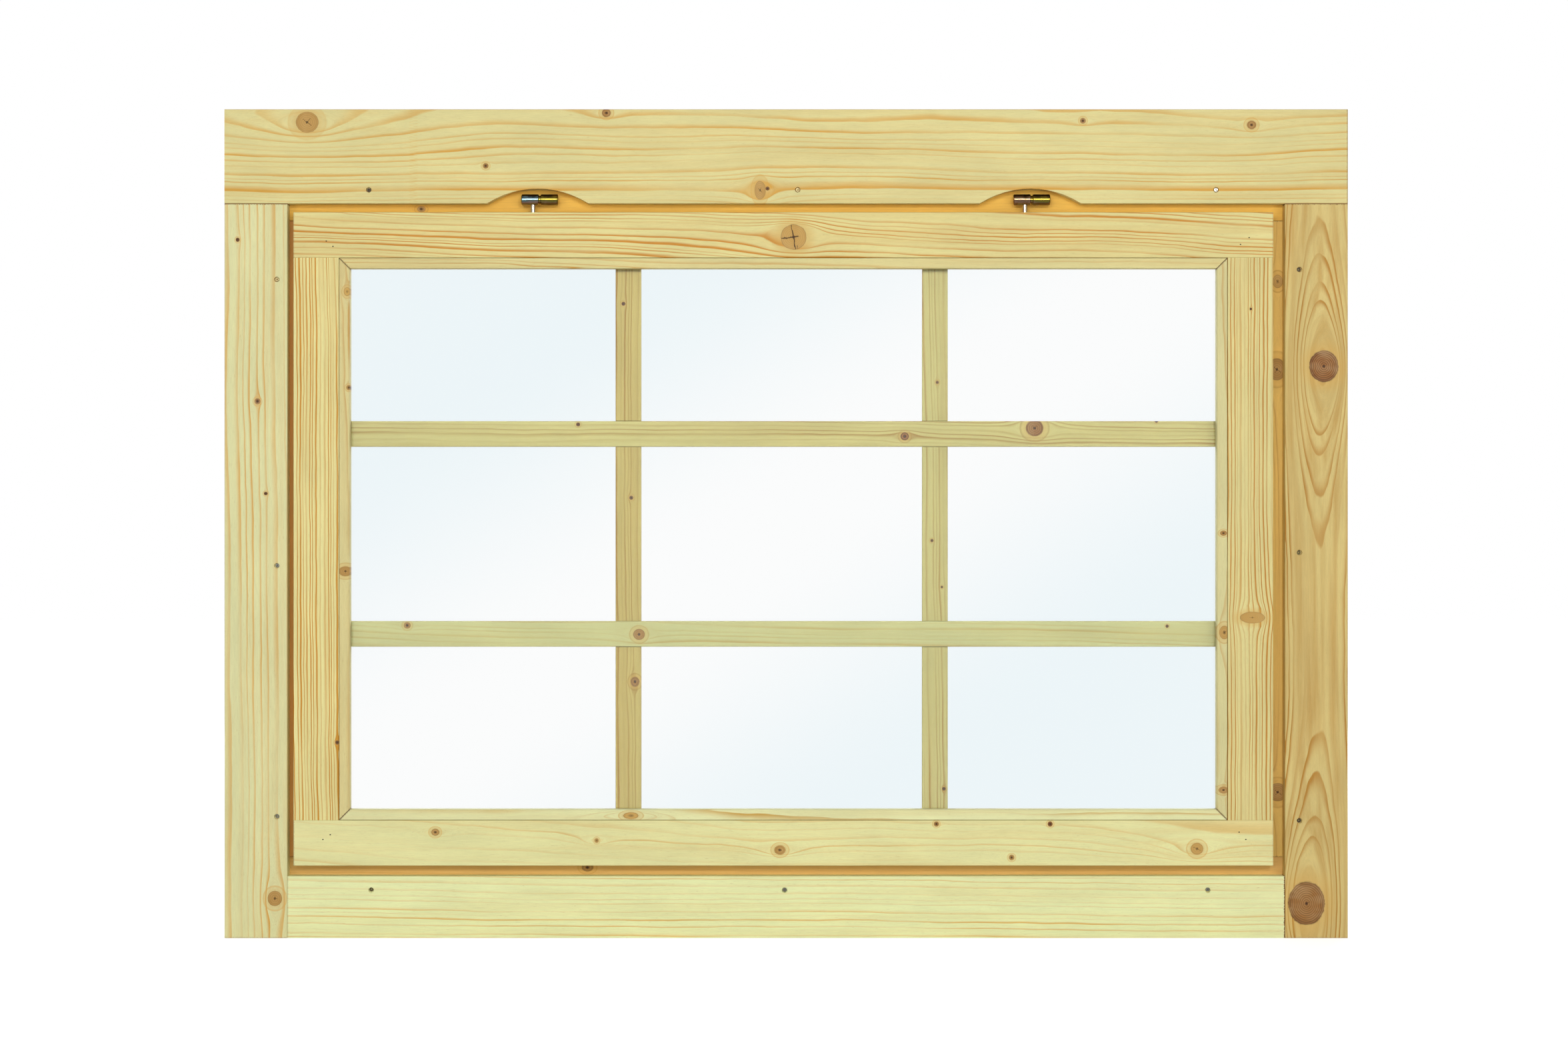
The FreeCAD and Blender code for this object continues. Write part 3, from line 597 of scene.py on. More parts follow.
def spruce(board, groups):
    """The spruce of one board."""
    knot_tree, spruce_tree = groups
    # Planed, untreated spruce: dull sheen, a fine line for each year, fibres along the board, a few knots
    made, tree = blank_material(f"Planed spruce {board.node}")
    place = add(tree, "ShaderNodeTexCoord").outputs["Object"]
    x, y, z = add(tree, SPLIT, {0: place}).outputs
    order = (x, z, y) if board.runs == "X" else (z, x, y)
    grain = add(tree, "ShaderNodeCombineXYZ", dict(enumerate(order))).outputs[0]
    grain = add(tree, VECTOR_MATH, {0: grain, "Scale": 1 / MM}, operation="SCALE").outputs[0]
    comb = None
    if board.finger_joint is not None:
        along, across, _ = add(tree, SPLIT, {0: grain}).outputs
        teeth = add(tree, MATH, {0: across, 1: FINGER_PITCH}, operation="PINGPONG").outputs[0]
        slant = FINGER_LENGTH / FINGER_PITCH
        edge = add(tree, MATH, {0: teeth, 1: slant, 2: along}, operation="MULTIPLY_ADD").outputs[0]
        past = add(tree, MATH, {0: edge, 1: board.finger_joint + FINGER_LENGTH / 2}, operation="SUBTRACT")
        other = add(tree, MATH, {0: past.outputs[0], 1: 0.0}, operation="LESS_THAN").outputs[0]
        away = add(tree, VECTOR_MATH, {0: FINGER_SHIFT, "Scale": other}, operation="SCALE").outputs[0]
        grain = add(tree, VECTOR_MATH, {0: grain, 1: away}, operation="ADD").outputs[0]
        comb = add(tree, MATH, {0: past.outputs[0]}, operation="ABSOLUTE").outputs[0]
        comb = add(tree, MAP_RANGE, {0: comb, 1: 0.0, 2: FINGER_STAIN, 3: 0.35, 4: 0.0}).outputs[0]
    flow = {"Grain": grain, "Offset": NO_KNOT, "Tone": 1.0, "Cracks": 1.0, "Girth": 1.0}
    for each in board.knots:
        values = {
            "Centre": (each.along, each.across, 0),
            "Size": (each.half_length, each.half_width, 1),
            "Darkness": each.darkness,
            "Rise": each.rise,
            "Parting": each.parting,
            "Drying": each.cracks,
            "Place": grain,
        }
        knot = add(tree, "ShaderNodeGroup", {**flow, **values}, node_tree=knot_tree)
        flow = {name: knot.outputs[name] for name in flow}
    normal = add(tree, "ShaderNodeNewGeometry").outputs["Normal"]
    axis = (1, 0, 0) if board.runs == "X" else (0, 0, 1)
    facing = add(tree, VECTOR_MATH, {0: normal, 1: axis}, operation="DOT_PRODUCT").outputs["Value"]
    facing = add(tree, MATH, {0: facing}, operation="ABSOLUTE").outputs[0]
    low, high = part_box(board.node)
    lengthwise = 0 if board.runs == "X" else 2
    half_length = (high - low)[lengthwise] / 2 / MM
    middle = (high + low)[lengthwise] / 2 / MM
    along, across, _ = add(tree, SPLIT, {0: grain}).outputs
    lower = add(tree, MATH, {0: along, 1: middle}, operation="LESS_THAN").outputs[0]
    end_fray_and_shade = add(tree, MAP_RANGE, {0: lower, 3: board.end_fray_and_shade[1], 4: board.end_fray_and_shade[0]}).outputs[0]
    from_middle = add(tree, MATH, {0: along, 1: middle}, operation="SUBTRACT").outputs[0]
    from_middle = add(tree, MATH, {0: from_middle}, operation="ABSOLUTE").outputs[0]
    cut = add(tree, MATH, {0: half_length, 1: from_middle}, operation="SUBTRACT").outputs[0]
    if board.mitred:
        # Cut at 45 degrees, so a bead is shorter towards the pane
        crosswise = 2 - lengthwise
        pane = sum(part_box("glass_pane"), Vector())[crosswise] / 2
        outer = max(low[crosswise], high[crosswise], key=lambda edge: abs(edge - pane)) / MM
        inwards = add(tree, MATH, {0: across, 1: outer}, operation="SUBTRACT").outputs[0]
        inwards = add(tree, MATH, {0: inwards}, operation="ABSOLUTE").outputs[0]
        cut = add(tree, MATH, {0: cut, 1: inwards}, operation="SUBTRACT").outputs[0]
    early = linear(board.early)
    # A frame board's outer face, seen only in the gap round the sash, gets painted light here: warm bounced
    # light, and painted shade where the gap is narrow
    if board.painted_gap_light:
        behind_painted_face = add(tree, MAP_RANGE, {0: y, 1: FRONT_FROM, 2: FRONT_TO}).outputs[0]
        tones = {0: behind_painted_face, 6: linear(board.painted_gap_light), 7: early}
        early = add(tree, MIX, tones, data_type="RGBA").outputs[2]
    values = {
        "Pith": (0, *board.pith),
        "Lean": (0, *board.lean),
        "Ring": board.ring,
        "Bow": board.bow,
        "Strength": board.strength,
        "Sharpness": board.sharpness,
        "Bands": board.bands,
        "Seed": board.seed,
        "Early": early,
        "Late": linear(board.late),
        "End": facing,
        "Cut": cut,
        "Fray and shade": end_fray_and_shade,
    }
    timber = add(tree, "ShaderNodeGroup", {**flow, **values}, node_tree=spruce_tree).outputs
    colour = timber["Color"]
    if comb is not None:
        colour = add(tree, MIX, {0: comb, 6: colour, 7: linear(board.late)}, data_type="RGBA").outputs[2]
    bump = add(tree, "ShaderNodeBump", {"Strength": 0.3, "Distance": 0.2 * MM, "Height": timber["Height"]})
    looks = {
        "Base Color": colour,
        "Roughness": timber["Roughness"],
        "Normal": bump.outputs[0],
        "Specular IOR Level": 0.3,
    }
    shader = add(tree, "ShaderNodeBsdfPrincipled", looks)
    add(tree, "ShaderNodeOutputMaterial", {"Surface": shader.outputs[0]})
    return made


def float_glass(glass):
    """The pane's glass."""
    # Clear float glass: colourless, with sharp reflections. Lamps shine through it to the bars.
    made, tree = blank_material("Clear float glass")
    looks = {"Base Color": opaque(glass.clear), "Roughness": 0.0, "IOR": 1.5, "Transmission Weight": 1.0}
    shader = add(tree, "ShaderNodeBsdfPrincipled", looks)
    through = add(tree, "ShaderNodeBsdfTransparent", {"Color": opaque(glass.shade)})
    shadow = add(tree, "ShaderNodeLightPath").outputs["Is Shadow Ray"]
    both = add(tree, "ShaderNodeMixShader", {0: shadow, 1: shader.outputs[0], 2: through.outputs[0]})
    add(tree, "ShaderNodeOutputMaterial", {"Surface": both.outputs[0]})
    return made


# Size of a patch of film on the hinges in metres, and tool marks to a metre, which are long round a barrel
FILM_PATCH = 9 * MM
TOOL_MARKS = (4000, 120, 120)

# Colours on each zinc finish, from the barrel's foot to its top: the film's own tint, with painted
# reflection in it, pale at the foot for the bright floor and dark at the top for the dim room
ZINC_FILMS_AND_REFLECTIONS = {
    "Yellow": ("#b4aa88", "#a48466", "#8a8438", "#a08432", "#4a3a1a", "#241a0c"),
    "Blue": ("#c4beac", "#b08e84", "#78887f", "#7a9aa2", "#403e36", "#221b14"),
    "Rose": ("#c8bca4", "#b48c72", "#927258", "#a8845e", "#4c3420", "#24180e"),
}


def zinc_film_and_reflection(name, film_and_reflection_colours):
    """A zinc finish running from the barrel's foot to its top: the film's tint, with a painted reflection,
    pale at the foot and dark at the top.
    """
    # Passivated zinc on turned steel: a bright metal whose thin film drifts from gold to green, blue or rose
    made, tree = blank_material(name)
    place = add(tree, "ShaderNodeTexCoord").outputs["Object"]
    low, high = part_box("hinge_left_frame_leaf")
    height = add(tree, SPLIT, {0: place}).outputs[2]
    height = add(tree, MAP_RANGE, {0: height, 1: low.z, 2: high.z}).outputs[0]
    patches = {"Vector": place, "Scale": 1 / FILM_PATCH, "Detail": 3.0, "Distortion": 0.6}
    patches = add(tree, NOISE, patches).outputs["Fac"]
    patches = add(tree, MAP_RANGE, {0: patches, 3: -0.35, 4: 0.35}, clamp=False).outputs[0]
    # Up the barrel the ramp paints reflection: pale at the foot for the bright floor, dark at the top for the
    # dim room
    depth = add(tree, MATH, {0: patches, 1: height}, operation="ADD").outputs[0]
    film = add(tree, "ShaderNodeValToRGB", {0: depth})
    stops = film.color_ramp.elements
    stops[0].color = linear(film_and_reflection_colours[0])
    stops[1].color = linear(film_and_reflection_colours[-1])
    for i, code in enumerate(film_and_reflection_colours[1:-1], 1):
        stops.new(i / (len(film_and_reflection_colours) - 1)).color = linear(code)
    turned = add(tree, VECTOR_MATH, {0: place, 1: TOOL_MARKS}, operation="MULTIPLY").outputs[0]
    tool_marks = add(tree, NOISE, {"Vector": turned, "Scale": 1.0, "Detail": 2.0}).outputs["Fac"]
    bump = add(tree, "ShaderNodeBump", {"Strength": 0.15, "Distance": 0.05 * MM, "Height": tool_marks})
    rough = add(tree, MAP_RANGE, {0: patches, 1: -0.2, 2: 0.2, 3: 0.16, 4: 0.3}).outputs[0]
    looks = {"Base Color": film.outputs[0], "Metallic": 1.0, "Roughness": rough, "Normal": bump.outputs[0]}
    shader = add(tree, "ShaderNodeBsdfPrincipled", looks)
    add(tree, "ShaderNodeOutputMaterial", {"Surface": shader.outputs[0]})
    return made


# Size of a patch of dust on the fastenings, in metres
DUST_PATCH = 1.5 * MM


def dull_steel(name, bare, dirt):
    """Steel of small fasteners, with patches of dirt."""
    # Phosphated steel screws and brads: a dark, dull metal with patches of dust
    made, tree = blank_material(name)
    place = add(tree, "ShaderNodeTexCoord").outputs["Object"]
    patches = add(tree, NOISE, {"Vector": place, "Scale": 1 / DUST_PATCH, "Detail": 4.0}).outputs["Fac"]
    dust = add(tree, MAP_RANGE, {0: patches, 1: 0.42, 2: 0.62}).outputs[0]
    colour = add(tree, MIX, {0: dust, 6: linear(bare), 7: linear(dirt)}, data_type="RGBA").outputs[2]
    rough = add(tree, MAP_RANGE, {0: dust, 3: 0.35, 4: 0.7}).outputs[0]
    metal = add(tree, MAP_RANGE, {0: dust, 3: 1.0, 4: 0.3}).outputs[0]
    bump = add(tree, "ShaderNodeBump", {"Strength": 0.4, "Distance": 0.1 * MM, "Height": patches})
    looks = {"Base Color": colour, "Metallic": metal, "Roughness": rough, "Normal": bump.outputs[0]}
    shader = add(tree, "ShaderNodeBsdfPrincipled", looks)
    add(tree, "ShaderNodeOutputMaterial", {"Surface": shader.outputs[0]})
    return made


def dress(node, material):
    """Gives a CAD node its finish."""
    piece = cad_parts[node]
    for held in piece.material_slots:
        held.material = material
    if not piece.material_slots:
        piece.data.materials.append(material)


def wood_groups(settings):
    """The two node groups that every board shares, made once."""
    knot = bpy.data.node_groups.get("Knot in spruce") or knot_group()
    timber = bpy.data.node_groups.get("Planed spruce") or spruce_group(settings.spruce)
    return knot, timber


def dress_boards(settings, prefix):
    """Gives every board whose name starts with the prefix its own spruce."""
    for board in BOARDS:
        if board.node.startswith(prefix):
            dress(board.node, spruce(board, wood_groups(settings)))


# Settings


def colour_setting(name, description, code):
    """A colour that a user can change, given as its sRGB hex value."""
    return bpy.props.FloatVectorProperty(
        name=name, description=description, subtype="COLOR", size=3, default=linear(code)[:3], min=0, max=1
    )


class SpruceColours(bpy.types.PropertyGroup):
    """Colours of the timber that every board shares."""

    resin: colour_setting("Resin streaks", "Short dark streaks along the fibres", "#b98f4c")
    halo: colour_setting("Knot halo", "Warm wood round a knot", "#d6a44c")
    knot_wood: colour_setting("Knot", "Sound branch wood", "#92602f")
    knot_pale: colour_setting("Pale knot", "Young branch wood", "#d6ac5c")
    knot_dry: colour_setting("Dry knot", "Pale, dried patches on a knot", "#b08c60")
    knot_heart: colour_setting("Knot heart", "Pith of the branch", "#40220c")
    knot_rim: colour_setting("Knot rim", "Bark ring at the edge of a knot", "#704420")
    # Partly torn end grain, partly painted shade in the joints where boards butt
    sawn_end_and_shade: colour_setting("Sawn ends", "Dark frayed edge that the saw leaves", "#7e5a30")
    crack: colour_setting("Knot cracks", "Drying cracks in a knot", "#34190a")


class GlassSettings(bpy.types.PropertyGroup):
    """What the pane does to light."""

    clear: colour_setting("Clear", "White light through the pane", "#fcfdfd")
    shade: colour_setting("Shade", "Lamplight that the pane lets through to the bars", "#e9efef")


class FasteningSettings(bpy.types.PropertyGroup):
    """Sizes of the screws and brads."""

    screw_head: bpy.props.FloatProperty(
        name="Screw head", description="Diameter of a casing screw's head", default=4.9 * MM, unit="LENGTH"
    )
    brad_width: bpy.props.FloatProperty(
        name="Brad width", description="Long side of a brad's head", default=1.9 * MM, unit="LENGTH"
    )
    brad_thickness: bpy.props.FloatProperty(
        name="Brad thickness", description="Short side of a brad's head", default=1.4 * MM, unit="LENGTH"
    )
    brad_proud: bpy.props.FloatProperty(
        name="Brad proud", description="Height of a brad's head above the sash", default=0.06 * MM,
        unit="LENGTH",
    )


class StudioSettings(bpy.types.PropertyGroup):
    """Camera, lamps and the white all round."""

    camera_distance: bpy.props.FloatProperty(
        name="Camera distance", description="From the casing's face", default=3.69, unit="LENGTH"
    )
    frame_width: bpy.props.FloatProperty(
        name="Frame width", description="Width that the picture covers at the casing's face", default=1.8968,
        unit="LENGTH",
    )
    lamp_power: bpy.props.FloatProperty(
        name="Lamp power", description="Power that every lamp takes its share of", default=48.5, unit="POWER"
    )
    room: bpy.props.FloatProperty(
        name="Dark side", description="How bright the room behind the camera looks in glass and metal",
        default=0.4, min=0,
    )
    daylight: bpy.props.FloatProperty(
        name="Daylight", description="How bright the white behind the window looks through the pane",
        default=1.015, min=0,
    )
    # Painted reflection: the pale blue in the pane's upper left and lower right, put into the white seen
    # through it
    pane_reflection_tint: colour_setting("Painted pane reflection", "Daylight through the pane's upper left and lower right", "#f0f8fb")
    sky: bpy.props.FloatProperty(name="Room light", description="Light from all round", default=0.25, min=0)


class WindowSettings(bpy.types.PropertyGroup):
    """Everything on the window that a user would change."""

    spruce: bpy.props.PointerProperty(type=SpruceColours)
    glass: bpy.props.PointerProperty(type=GlassSettings)
    fastenings: bpy.props.PointerProperty(type=FasteningSettings)
    studio: bpy.props.PointerProperty(type=StudioSettings)


# Fastenings


# Screw finishes: bare steel, and the dust or film on it
SCREW_STEELS = {
    "Olive": ("#5a5438", "#7d7048"),
    "Grey": ("#8c8e84", "#7c765c"),
    "Dark": ("#3e3a30", "#66543a"),
    "Dusty": ("#a8986c", "#d2bd84"),
    "Worn": ("#d6d6cc", "#c8c2ae"),
}

# Each casing screw: across and up the window, how far its head is sunk and how far it sits off the middle of
# its pocket, all in mm, then the turn of its cross in degrees and its finish
SCREWS = (
    (-501.5, 854.5, 1.2, (0.3, -0.3), 20, "Dark"),
    (17.5, 854.5, 0.8, (0.0, 0.0), 45, "Dusty"),
    (523.5, 854.5, 0.7, (0.0, 0.0), 10, "Worn"),
    (-498.5, 7, 1.6, (0.1, 0.8), 70, "Olive"),
    (1.5, 7, 1.2, (0.2, 0.3), 35, "Grey"),
    (513.5, 7, 1.4, (0.1, 0.7), 55, "Grey"),
    (-612.7, 96, 1.6, (0.4, 0.5), 5, "Grey"),
    (-612.7, 399.5, 1.2, (0.6, 0.4), 28, "Grey"),
    (-612.7, 746, 1.0, (0.2, 0.1), 80, "Dusty"),
    (624.5, 91, 1.8, (-0.4, 0.2), 15, "Dark"),
    (624.5, 415.5, 2.0, (-0.8, 0.1), 64, "Olive"),
    (624.5, 758, 1.8, (-0.7, 0.1), 40, "Dark"),
)

# Each brad in the sash's corners: across and up the window in mm
BRADS = (
    (-552.3, 792.1),
    (-544.2, 785.7),
    (563.0, 796.2),
    (552.5, 788.1),
    (550.9, 77.6),
    (559.0, 68.8),
    (-547.5, 74.4),
    (-556.3, 68.8),
)


def pick_faces(piece, wanted):
    """Goes into edit mode with only the faces that pass the test selected."""
    bpy.ops.object.mode_set(mode="OBJECT")
    mesh = piece.data
    mesh.vertices.foreach_set("select", [False] * len(mesh.vertices))
    mesh.edges.foreach_set("select", [False] * len(mesh.edges))
    mesh.polygons.foreach_set("select", [bool(wanted(face)) for face in mesh.polygons])
    bpy.ops.object.mode_set(mode="EDIT")
    bpy.ops.mesh.select_mode(type="FACE")


def casing_screw(fastenings):
    """A countersunk screw that points down from the origin, with a cross recess in its head."""
    radius = fastenings.screw_head / 2
    rim = 0.6 * MM
    cone = 1.4 * MM
    core_share = 0.6
    shank = 6 * MM
    flat = 0.25 * MM
    dome = 0.15 * MM
    arm = (1.5 * radius, 0.38 * radius, 3 * MM)
    arm_taper = (0.4, 0.6, 1)
    bpy.ops.object.select_all(action="DESELECT")
    bpy.ops.mesh.primitive_cylinder_add(vertices=32, radius=radius, depth=rim, location=(0, 0, -rim / 2))
    bpy.ops.object.transform_apply(location=True, rotation=True, scale=True)
    screw = bpy.context.object
    pick_faces(screw, lambda face: face.normal.z < -0.9)
    bpy.ops.mesh.extrude_region_move(TRANSFORM_OT_translate={"value": (0, 0, -cone)})
    bpy.ops.transform.resize(value=(core_share, core_share, 1), center_override=(0, 0, -rim - cone))
    bpy.ops.mesh.extrude_region_move(TRANSFORM_OT_translate={"value": (0, 0, -shank)})
    pick_faces(screw, lambda face: face.normal.z > 0.9)
    bpy.ops.mesh.inset(thickness=flat)
    bpy.ops.transform.translate(value=(0, 0, dome))
    bpy.ops.object.mode_set(mode="OBJECT")

    bpy.ops.object.select_all(action="DESELECT")
    bpy.ops.mesh.primitive_cube_add(size=1, scale=arm)
    bpy.ops.object.transform_apply(location=True, rotation=True, scale=True)
    cutter = bpy.context.object
    pick_faces(cutter, lambda face: face.normal.z < -0.9)
    bpy.ops.transform.resize(value=arm_taper, center_override=(0, 0, -arm[2] / 2))
    bpy.ops.mesh.select_all(action="SELECT")
    bpy.ops.mesh.duplicate()
    bpy.ops.transform.rotate(value=math.radians(90), orient_axis="Z", center_override=(0, 0, 0))
    bpy.ops.object.mode_set(mode="OBJECT")
    recess = screw.modifiers.new("Cross recess", "BOOLEAN")
    recess.object = cutter
    recess.operation = "DIFFERENCE"
    recess.use_self = True
    bpy.context.view_layer.objects.active = screw
    bpy.ops.object.modifier_apply(modifier=recess.name)
    bpy.data.objects.remove(cutter)
    return screw


def corner_brad(fastenings):
    """A machine driven brad that points down from the origin, with a dished oblong head."""
    length = 6 * MM
    edge = 0.25 * MM
    lip = 0.15 * MM
    dish = 0.05 * MM
    bpy.ops.object.select_all(action="DESELECT")
    size = (fastenings.brad_width, fastenings.brad_thickness, length)
    bpy.ops.mesh.primitive_cube_add(size=1, scale=size, location=(0, 0, -length / 2))
    bpy.ops.object.transform_apply(location=True, rotation=True, scale=True)
    brad = bpy.context.object
    bpy.ops.object.mode_set(mode="EDIT")
    bpy.ops.mesh.select_all(action="SELECT")
    bpy.ops.mesh.bevel(offset=edge, segments=2)
    pick_faces(brad, lambda face: face.normal.z > 0.99)
    bpy.ops.mesh.inset(thickness=lip)
    bpy.ops.transform.translate(value=(0, 0, -dish))
    bpy.ops.object.mode_set(mode="OBJECT")
    return brad


def drive(pattern, name, place, turn, material):
    """A copy of a fastening driven into the window from outdoors, with its own mesh."""
    mesh = pattern.data.copy()
    mesh.transform(Matrix.Rotation(math.radians(90), 4, "X") @ Matrix.Rotation(math.radians(turn), 4, "Z"))
    mesh.transform(Matrix.Translation(place))
    mesh.materials.clear()
    mesh.materials.append(material)
    piece = bpy.data.objects.new(name, mesh)
    bpy.context.scene.collection.objects.link(piece)
    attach(piece, "root")


# Studio

# Side of the floor in metres, and two whites as the share of light that they give back
FLOOR_SIZE = 24.0
WHITE = (1.0, 1.0, 1.0, 1.0)
PAPER = (0.9, 0.9, 0.9, 1.0)

# Each lamp: name, place and side in metres, share of the lamp power
LAMPS = (
    ("right_lamp", (2.3, -3.4, 0.4), 1.2, 0.52),
    ("left_lamp", (-2.3, -3.4, 0.35), 1.2, 0.45),
    ("upper_right_lamp", (0.75, -3.9, 1.52), 0.7, 0.7),
    ("upper_left_lamp", (-0.75, -3.9, 1.52), 0.7, 0.63),
    ("back_right_lamp", (1.7, 3.3, 1.2), 1.2, 0.9),
    ("back_left_lamp", (-1.7, 3.3, 1.2), 1.2, 0.9),
)

# Camera: width of its sensor in mm, how far it stands off the window's middle and how far it sees, in metres
SENSOR_WIDTH = 36.0
CAMERA_ASIDE = -0.0026
CAMERA_ABOVE = 0.0014
SIGHT = 100


def backdrop_with_painted_reflection(studio):
    """The white behind the window, with a painted reflection: it drifts to a pale blue towards two corners of
    the pane.
    """
    tree = bpy.data.node_groups.new("Daylight", "ShaderNodeTree")
    given, result = group_sockets(tree, (("Sight", VECTOR),), (("Color", COLOUR),))
    low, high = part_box("glass_pane")
    slope = Vector((1 / (high.x - low.x), 0, -1 / (high.z - low.z))) * studio.camera_distance
    sight = given.outputs["Sight"]
    aside = add(tree, VECTOR_MATH, {0: sight, 1: slope}, operation="DOT_PRODUCT").outputs["Value"]
    ahead = add(tree, SPLIT, {0: sight}).outputs[1]
    away = add(tree, MATH, {0: aside, 1: ahead}, operation="DIVIDE").outputs[0]
    away = add(tree, MATH, {0: away}, operation="ABSOLUTE").outputs[0]
    reflection_share = add(tree, MAP_RANGE, {0: away, 1: 0.05, 2: 0.6}, interpolation_type="SMOOTHSTEP").outputs[0]
    tones = {0: reflection_share, 6: WHITE, 7: opaque(studio.pane_reflection_tint)}
    colour = add(tree, MIX, tones, data_type="RGBA").outputs[2]
    tree.links.new(colour, result.inputs["Color"])
    return tree


def floor_paper(studio, daylight):
    """The paper of the studio's floor."""
    # Matt white paper: plain white to the camera but for the window's shadow
    made, tree = blank_material("White paper floor")
    path = add(tree, "ShaderNodeLightPath").outputs
    # Less glow near the window, where the lamps are enough and its shadow has to show
    place = add(tree, "ShaderNodeTexCoord").outputs["Object"]
    away = add(tree, VECTOR_MATH, {0: place}, operation="LENGTH").outputs["Value"]
    away = add(tree, MAP_RANGE, {0: away, 1: 1.0, 2: 4.0, 3: 0.62, 4: 0.8}).outputs[0]
    glow = add(tree, MATH, {0: path["Is Camera Ray"], 1: away}, operation="MULTIPLY").outputs[0]
    matt = add(tree, "ShaderNodeBsdfDiffuse", {"Color": PAPER}).outputs[0]
    lit = add(tree, "ShaderNodeEmission", {"Color": WHITE, "Strength": glow}).outputs[0]
    sheet = add(tree, "ShaderNodeAddShader", {0: matt, 1: lit}).outputs[0]
    # As bright as the room in the pane, so no horizon shows there
    mirrored = add(tree, "ShaderNodeEmission", {"Color": WHITE, "Strength": studio.room}).outputs[0]
    sheet = add(tree, "ShaderNodeMixShader", {0: path["Is Glossy Ray"], 1: sheet, 2: mirrored}).outputs[0]
    # Rays through the pane count as mirrored ones too, so they are set apart last
    # Through the pane the floor shows the white behind the window, with its painted reflection
    sight = add(tree, "ShaderNodeNewGeometry").outputs["Incoming"]
    backdrop_and_reflection = add(tree, "ShaderNodeGroup", {"Sight": sight}, node_tree=daylight).outputs[0]
    white = add(tree, "ShaderNodeEmission", {"Color": backdrop_and_reflection, "Strength": studio.daylight}).outputs[0]
    first = add(tree, MATH, {0: path["Diffuse Depth"], 1: 0.5}, operation="LESS_THAN").outputs[0]
    through = {0: path["Is Transmission Ray"], 1: first}
    through = add(tree, MATH, through, operation="MULTIPLY").outputs[0]
    both = add(tree, "ShaderNodeMixShader", {0: through, 1: sheet, 2: white}).outputs[0]
    add(tree, "ShaderNodeOutputMaterial", {"Surface": both})
    return made


def white_surroundings(studio, daylight):
    """White behind the window, a dimmer room in glass and metal, and daylight through the pane with a painted
    reflection.
    """
    world = bpy.data.worlds.new("White studio")
    world.use_nodes = True
    tree = world.node_tree
    tree.nodes.clear()
    path = add(tree, "ShaderNodeLightPath").outputs
    through = path["Is Transmission Ray"]
    seen = {0: path["Is Camera Ray"], 1: path["Is Glossy Ray"]}
    seen = add(tree, MATH, seen, operation="MAXIMUM").outputs[0]
    seen = add(tree, MATH, {0: seen, 1: through}, operation="MAXIMUM").outputs[0]
    first = add(tree, MATH, {0: path["Diffuse Depth"], 1: 0.5}, operation="LESS_THAN").outputs[0]
    seen = add(tree, MATH, {0: seen, 1: first}, operation="MULTIPLY").outputs[0]
    heading = add(tree, "ShaderNodeTexCoord").outputs["Generated"]
    ahead = add(tree, SPLIT, {0: heading}).outputs[1]
    room = add(tree, MAP_RANGE, {0: ahead, 1: -0.5, 2: 0.3, 3: studio.room, 4: 1.0}).outputs[0]
    bright = add(tree, MIX, {0: path["Is Glossy Ray"], 2: 1.0, 3: room}, data_type="FLOAT").outputs[0]
    bright = add(tree, MIX, {0: through, 2: bright, 3: studio.daylight}, data_type="FLOAT").outputs[0]
    level = add(tree, MAP_RANGE, {0: seen, 3: studio.sky, 4: bright}).outputs[0]
    # Through the pane the world shows the white behind the window, with its painted reflection
    backdrop_and_reflection = add(tree, "ShaderNodeGroup", {"Sight": heading}, node_tree=daylight).outputs[0]
    colour = add(tree, MIX, {0: through, 6: WHITE, 7: backdrop_and_reflection}, data_type="RGBA").outputs[2]
    sky = add(tree, "ShaderNodeBackground", {"Color": colour, "Strength": level}).outputs[0]
    add(tree, "ShaderNodeOutputWorld", {"Surface": sky})
    return world


# Operators


class AWNING_OT_casing(bpy.types.Operator):
    """Finishes the four casing boards"""

    bl_idname = "awning.casing"
    bl_label = "Dress the casing"

    def execute(self, context):
        dress_boards(context.scene.awning_window, "casing_")
        return {"FINISHED"}


class AWNING_OT_box_frame(bpy.types.Operator):
    """Finishes the box frame behind the casing"""

    bl_idname = "awning.box_frame"
    bl_label = "Dress the box frame"

    def execute(self, context):
        dress_boards(context.scene.awning_window, "frame_")
        return {"FINISHED"}


class AWNING_OT_sash(bpy.types.Operator):
    """Finishes the sash's rails and stiles"""

    bl_idname = "awning.sash"
    bl_label = "Dress the sash"

    def execute(self, context):
        dress_boards(context.scene.awning_window, "sash_")
        return {"FINISHED"}


class AWNING_OT_glazing(bpy.types.Operator):
    """Finishes the beads, the bars and the pane"""

    bl_idname = "awning.glazing"
    bl_label = "Dress the glazing"

    def execute(self, context):
        settings = context.scene.awning_window
        dress_boards(settings, "bead_")
        dress_boards(settings, "bar_")
        dress("glass_pane", float_glass(settings.glass))
        return {"FINISHED"}


class AWNING_OT_hinges(bpy.types.Operator):
    """Finishes the two drill-in hinges"""

    bl_idname = "awning.hinges"
    bl_label = "Dress the hinges"

    def execute(self, context):
        zinc = {tint: zinc_film_and_reflection(f"{tint} zinc film and painted reflection", film) for tint, film in ZINC_FILMS_AND_REFLECTIONS.items()}
        tints = {"hinge_left_sash_leaf": "Blue", "hinge_right_sash_leaf": "Rose"}
        for side in ("left", "right"):
            for leaf in ("frame_leaf", "washer", "sash_leaf"):
                node = f"hinge_{side}_{leaf}"
                dress(node, zinc[tints.get(node, "Yellow")])
        return {"FINISHED"}


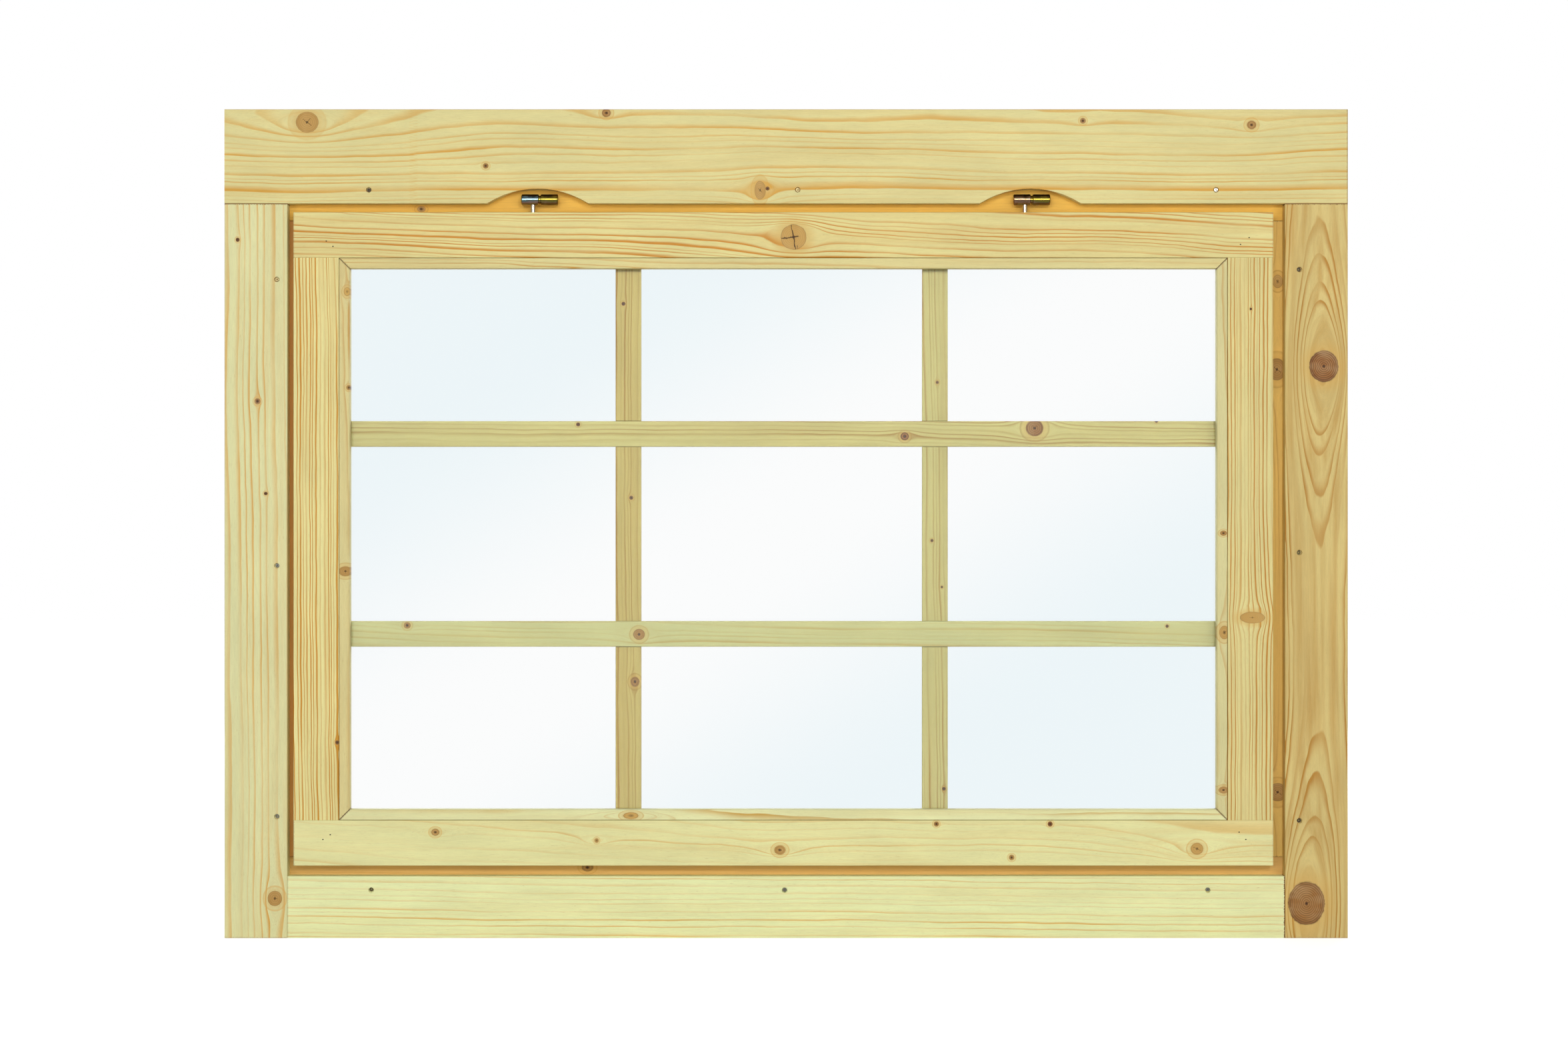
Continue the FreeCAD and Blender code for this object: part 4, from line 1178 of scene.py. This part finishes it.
class AWNING_OT_screws(bpy.types.Operator):
    """Drives the twelve casing screws"""

    bl_idname = "awning.screws"
    bl_label = "Drive the casing screws"

    def execute(self, context):
        fastenings = context.scene.awning_window.fastenings
        steels = {name: dull_steel(f"{name} screw steel", *tones) for name, tones in SCREW_STEELS.items()}
        pattern = casing_screw(fastenings)
        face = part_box("casing_head")[0].y / MM
        for i, (x, z, sunk, (aside, above), turn, finish) in enumerate(SCREWS, 1):
            place = Vector((x + aside, face + sunk, z + above)) * MM
            drive(pattern, f"casing_screw_{i}", place, turn, steels[finish])
        bpy.data.objects.remove(pattern)
        return {"FINISHED"}


class AWNING_OT_brads(bpy.types.Operator):
    """Drives the brads through the sash's corner joints"""

    bl_idname = "awning.brads"
    bl_label = "Drive the corner brads"

    def execute(self, context):
        fastenings = context.scene.awning_window.fastenings
        # Near black: partly the brads' dark steel, partly painted shade of the punched holes they sit in
        steel = dull_steel("Brad steel and painted hole shade", "#0e0b08", "#1c140b")
        pattern = corner_brad(fastenings)
        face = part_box("sash_top_rail")[0].y
        for i, (x, z) in enumerate(BRADS, 1):
            place = (x * MM, face - fastenings.brad_proud, z * MM)
            drive(pattern, f"corner_brad_{i}", place, 0, steel)
        bpy.data.objects.remove(pattern)
        return {"FINISHED"}


class AWNING_OT_studio(bpy.types.Operator):
    """Adds the floor, the white surroundings, the lamps and the camera"""

    bl_idname = "awning.studio"
    bl_label = "Set the studio"

    def execute(self, context):
        scene = context.scene
        studio = scene.awning_window.studio
        scene.view_settings.view_transform = "Standard"
        daylight = backdrop_with_painted_reflection(studio)

        bpy.ops.object.select_all(action="DESELECT")
        bpy.ops.mesh.primitive_plane_add(size=FLOOR_SIZE, location=(0, 0, CAD_LOW.z))
        floor = context.object
        floor.name = "studio_floor"
        floor.data.materials.append(floor_paper(studio, daylight))
        scene.world = white_surroundings(studio, daylight)

        centre = (CAD_LOW + CAD_HIGH) / 2
        for name, place, size, share in LAMPS:
            lamp = bpy.data.lights.new(name, "AREA")
            lamp.shape = "SQUARE"
            lamp.size = size
            lamp.energy = studio.lamp_power * share
            held = bpy.data.objects.new(name, lamp)
            held.location = place
            held.rotation_euler = (centre - Vector(place)).to_track_quat("-Z", "Y").to_euler()
            held.visible_camera = False
            held.visible_transmission = False
            scene.collection.objects.link(held)

        eye = bpy.data.cameras.new("camera")
        eye.sensor_width = SENSOR_WIDTH
        eye.lens = SENSOR_WIDTH * studio.camera_distance / studio.frame_width
        eye.clip_end = SIGHT
        camera = bpy.data.objects.new("camera", eye)
        casing_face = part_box("casing_head")[0].y
        camera.location = (
            centre.x + CAMERA_ASIDE, casing_face - studio.camera_distance, centre.z + CAMERA_ABOVE
        )
        camera.rotation_euler = (math.radians(90), 0, 0)
        scene.collection.objects.link(camera)
        scene.camera = camera
        return {"FINISHED"}


class AWNING_PT_window(bpy.types.Panel):
    """Buttons for every step, in order"""

    bl_idname = "AWNING_PT_window"
    bl_label = "Top hung awning window"
    bl_space_type = "VIEW_3D"
    bl_region_type = "UI"
    bl_category = "Window"

    def draw(self, context):
        for step in STEPS:
            self.layout.operator(step.bl_idname)


STEPS = (
    AWNING_OT_casing,
    AWNING_OT_box_frame,
    AWNING_OT_sash,
    AWNING_OT_glazing,
    AWNING_OT_hinges,
    AWNING_OT_screws,
    AWNING_OT_brads,
    AWNING_OT_studio,
)
SETTINGS = (SpruceColours, GlassSettings, FasteningSettings, StudioSettings, WindowSettings)
CLASSES = SETTINGS + STEPS + (AWNING_PT_window,)


def register():
    for each in CLASSES:
        bpy.utils.register_class(each)
    bpy.types.Scene.awning_window = bpy.props.PointerProperty(type=WindowSettings)


def unregister():
    del bpy.types.Scene.awning_window
    for each in reversed(CLASSES):
        bpy.utils.unregister_class(each)


def main():
    register()
    bpy.ops.awning.casing()
    bpy.ops.awning.box_frame()
    bpy.ops.awning.sash()
    bpy.ops.awning.glazing()
    bpy.ops.awning.hinges()
    bpy.ops.awning.screws()
    bpy.ops.awning.brads()
    bpy.ops.awning.studio()


if __name__ == "__main__":
    main()
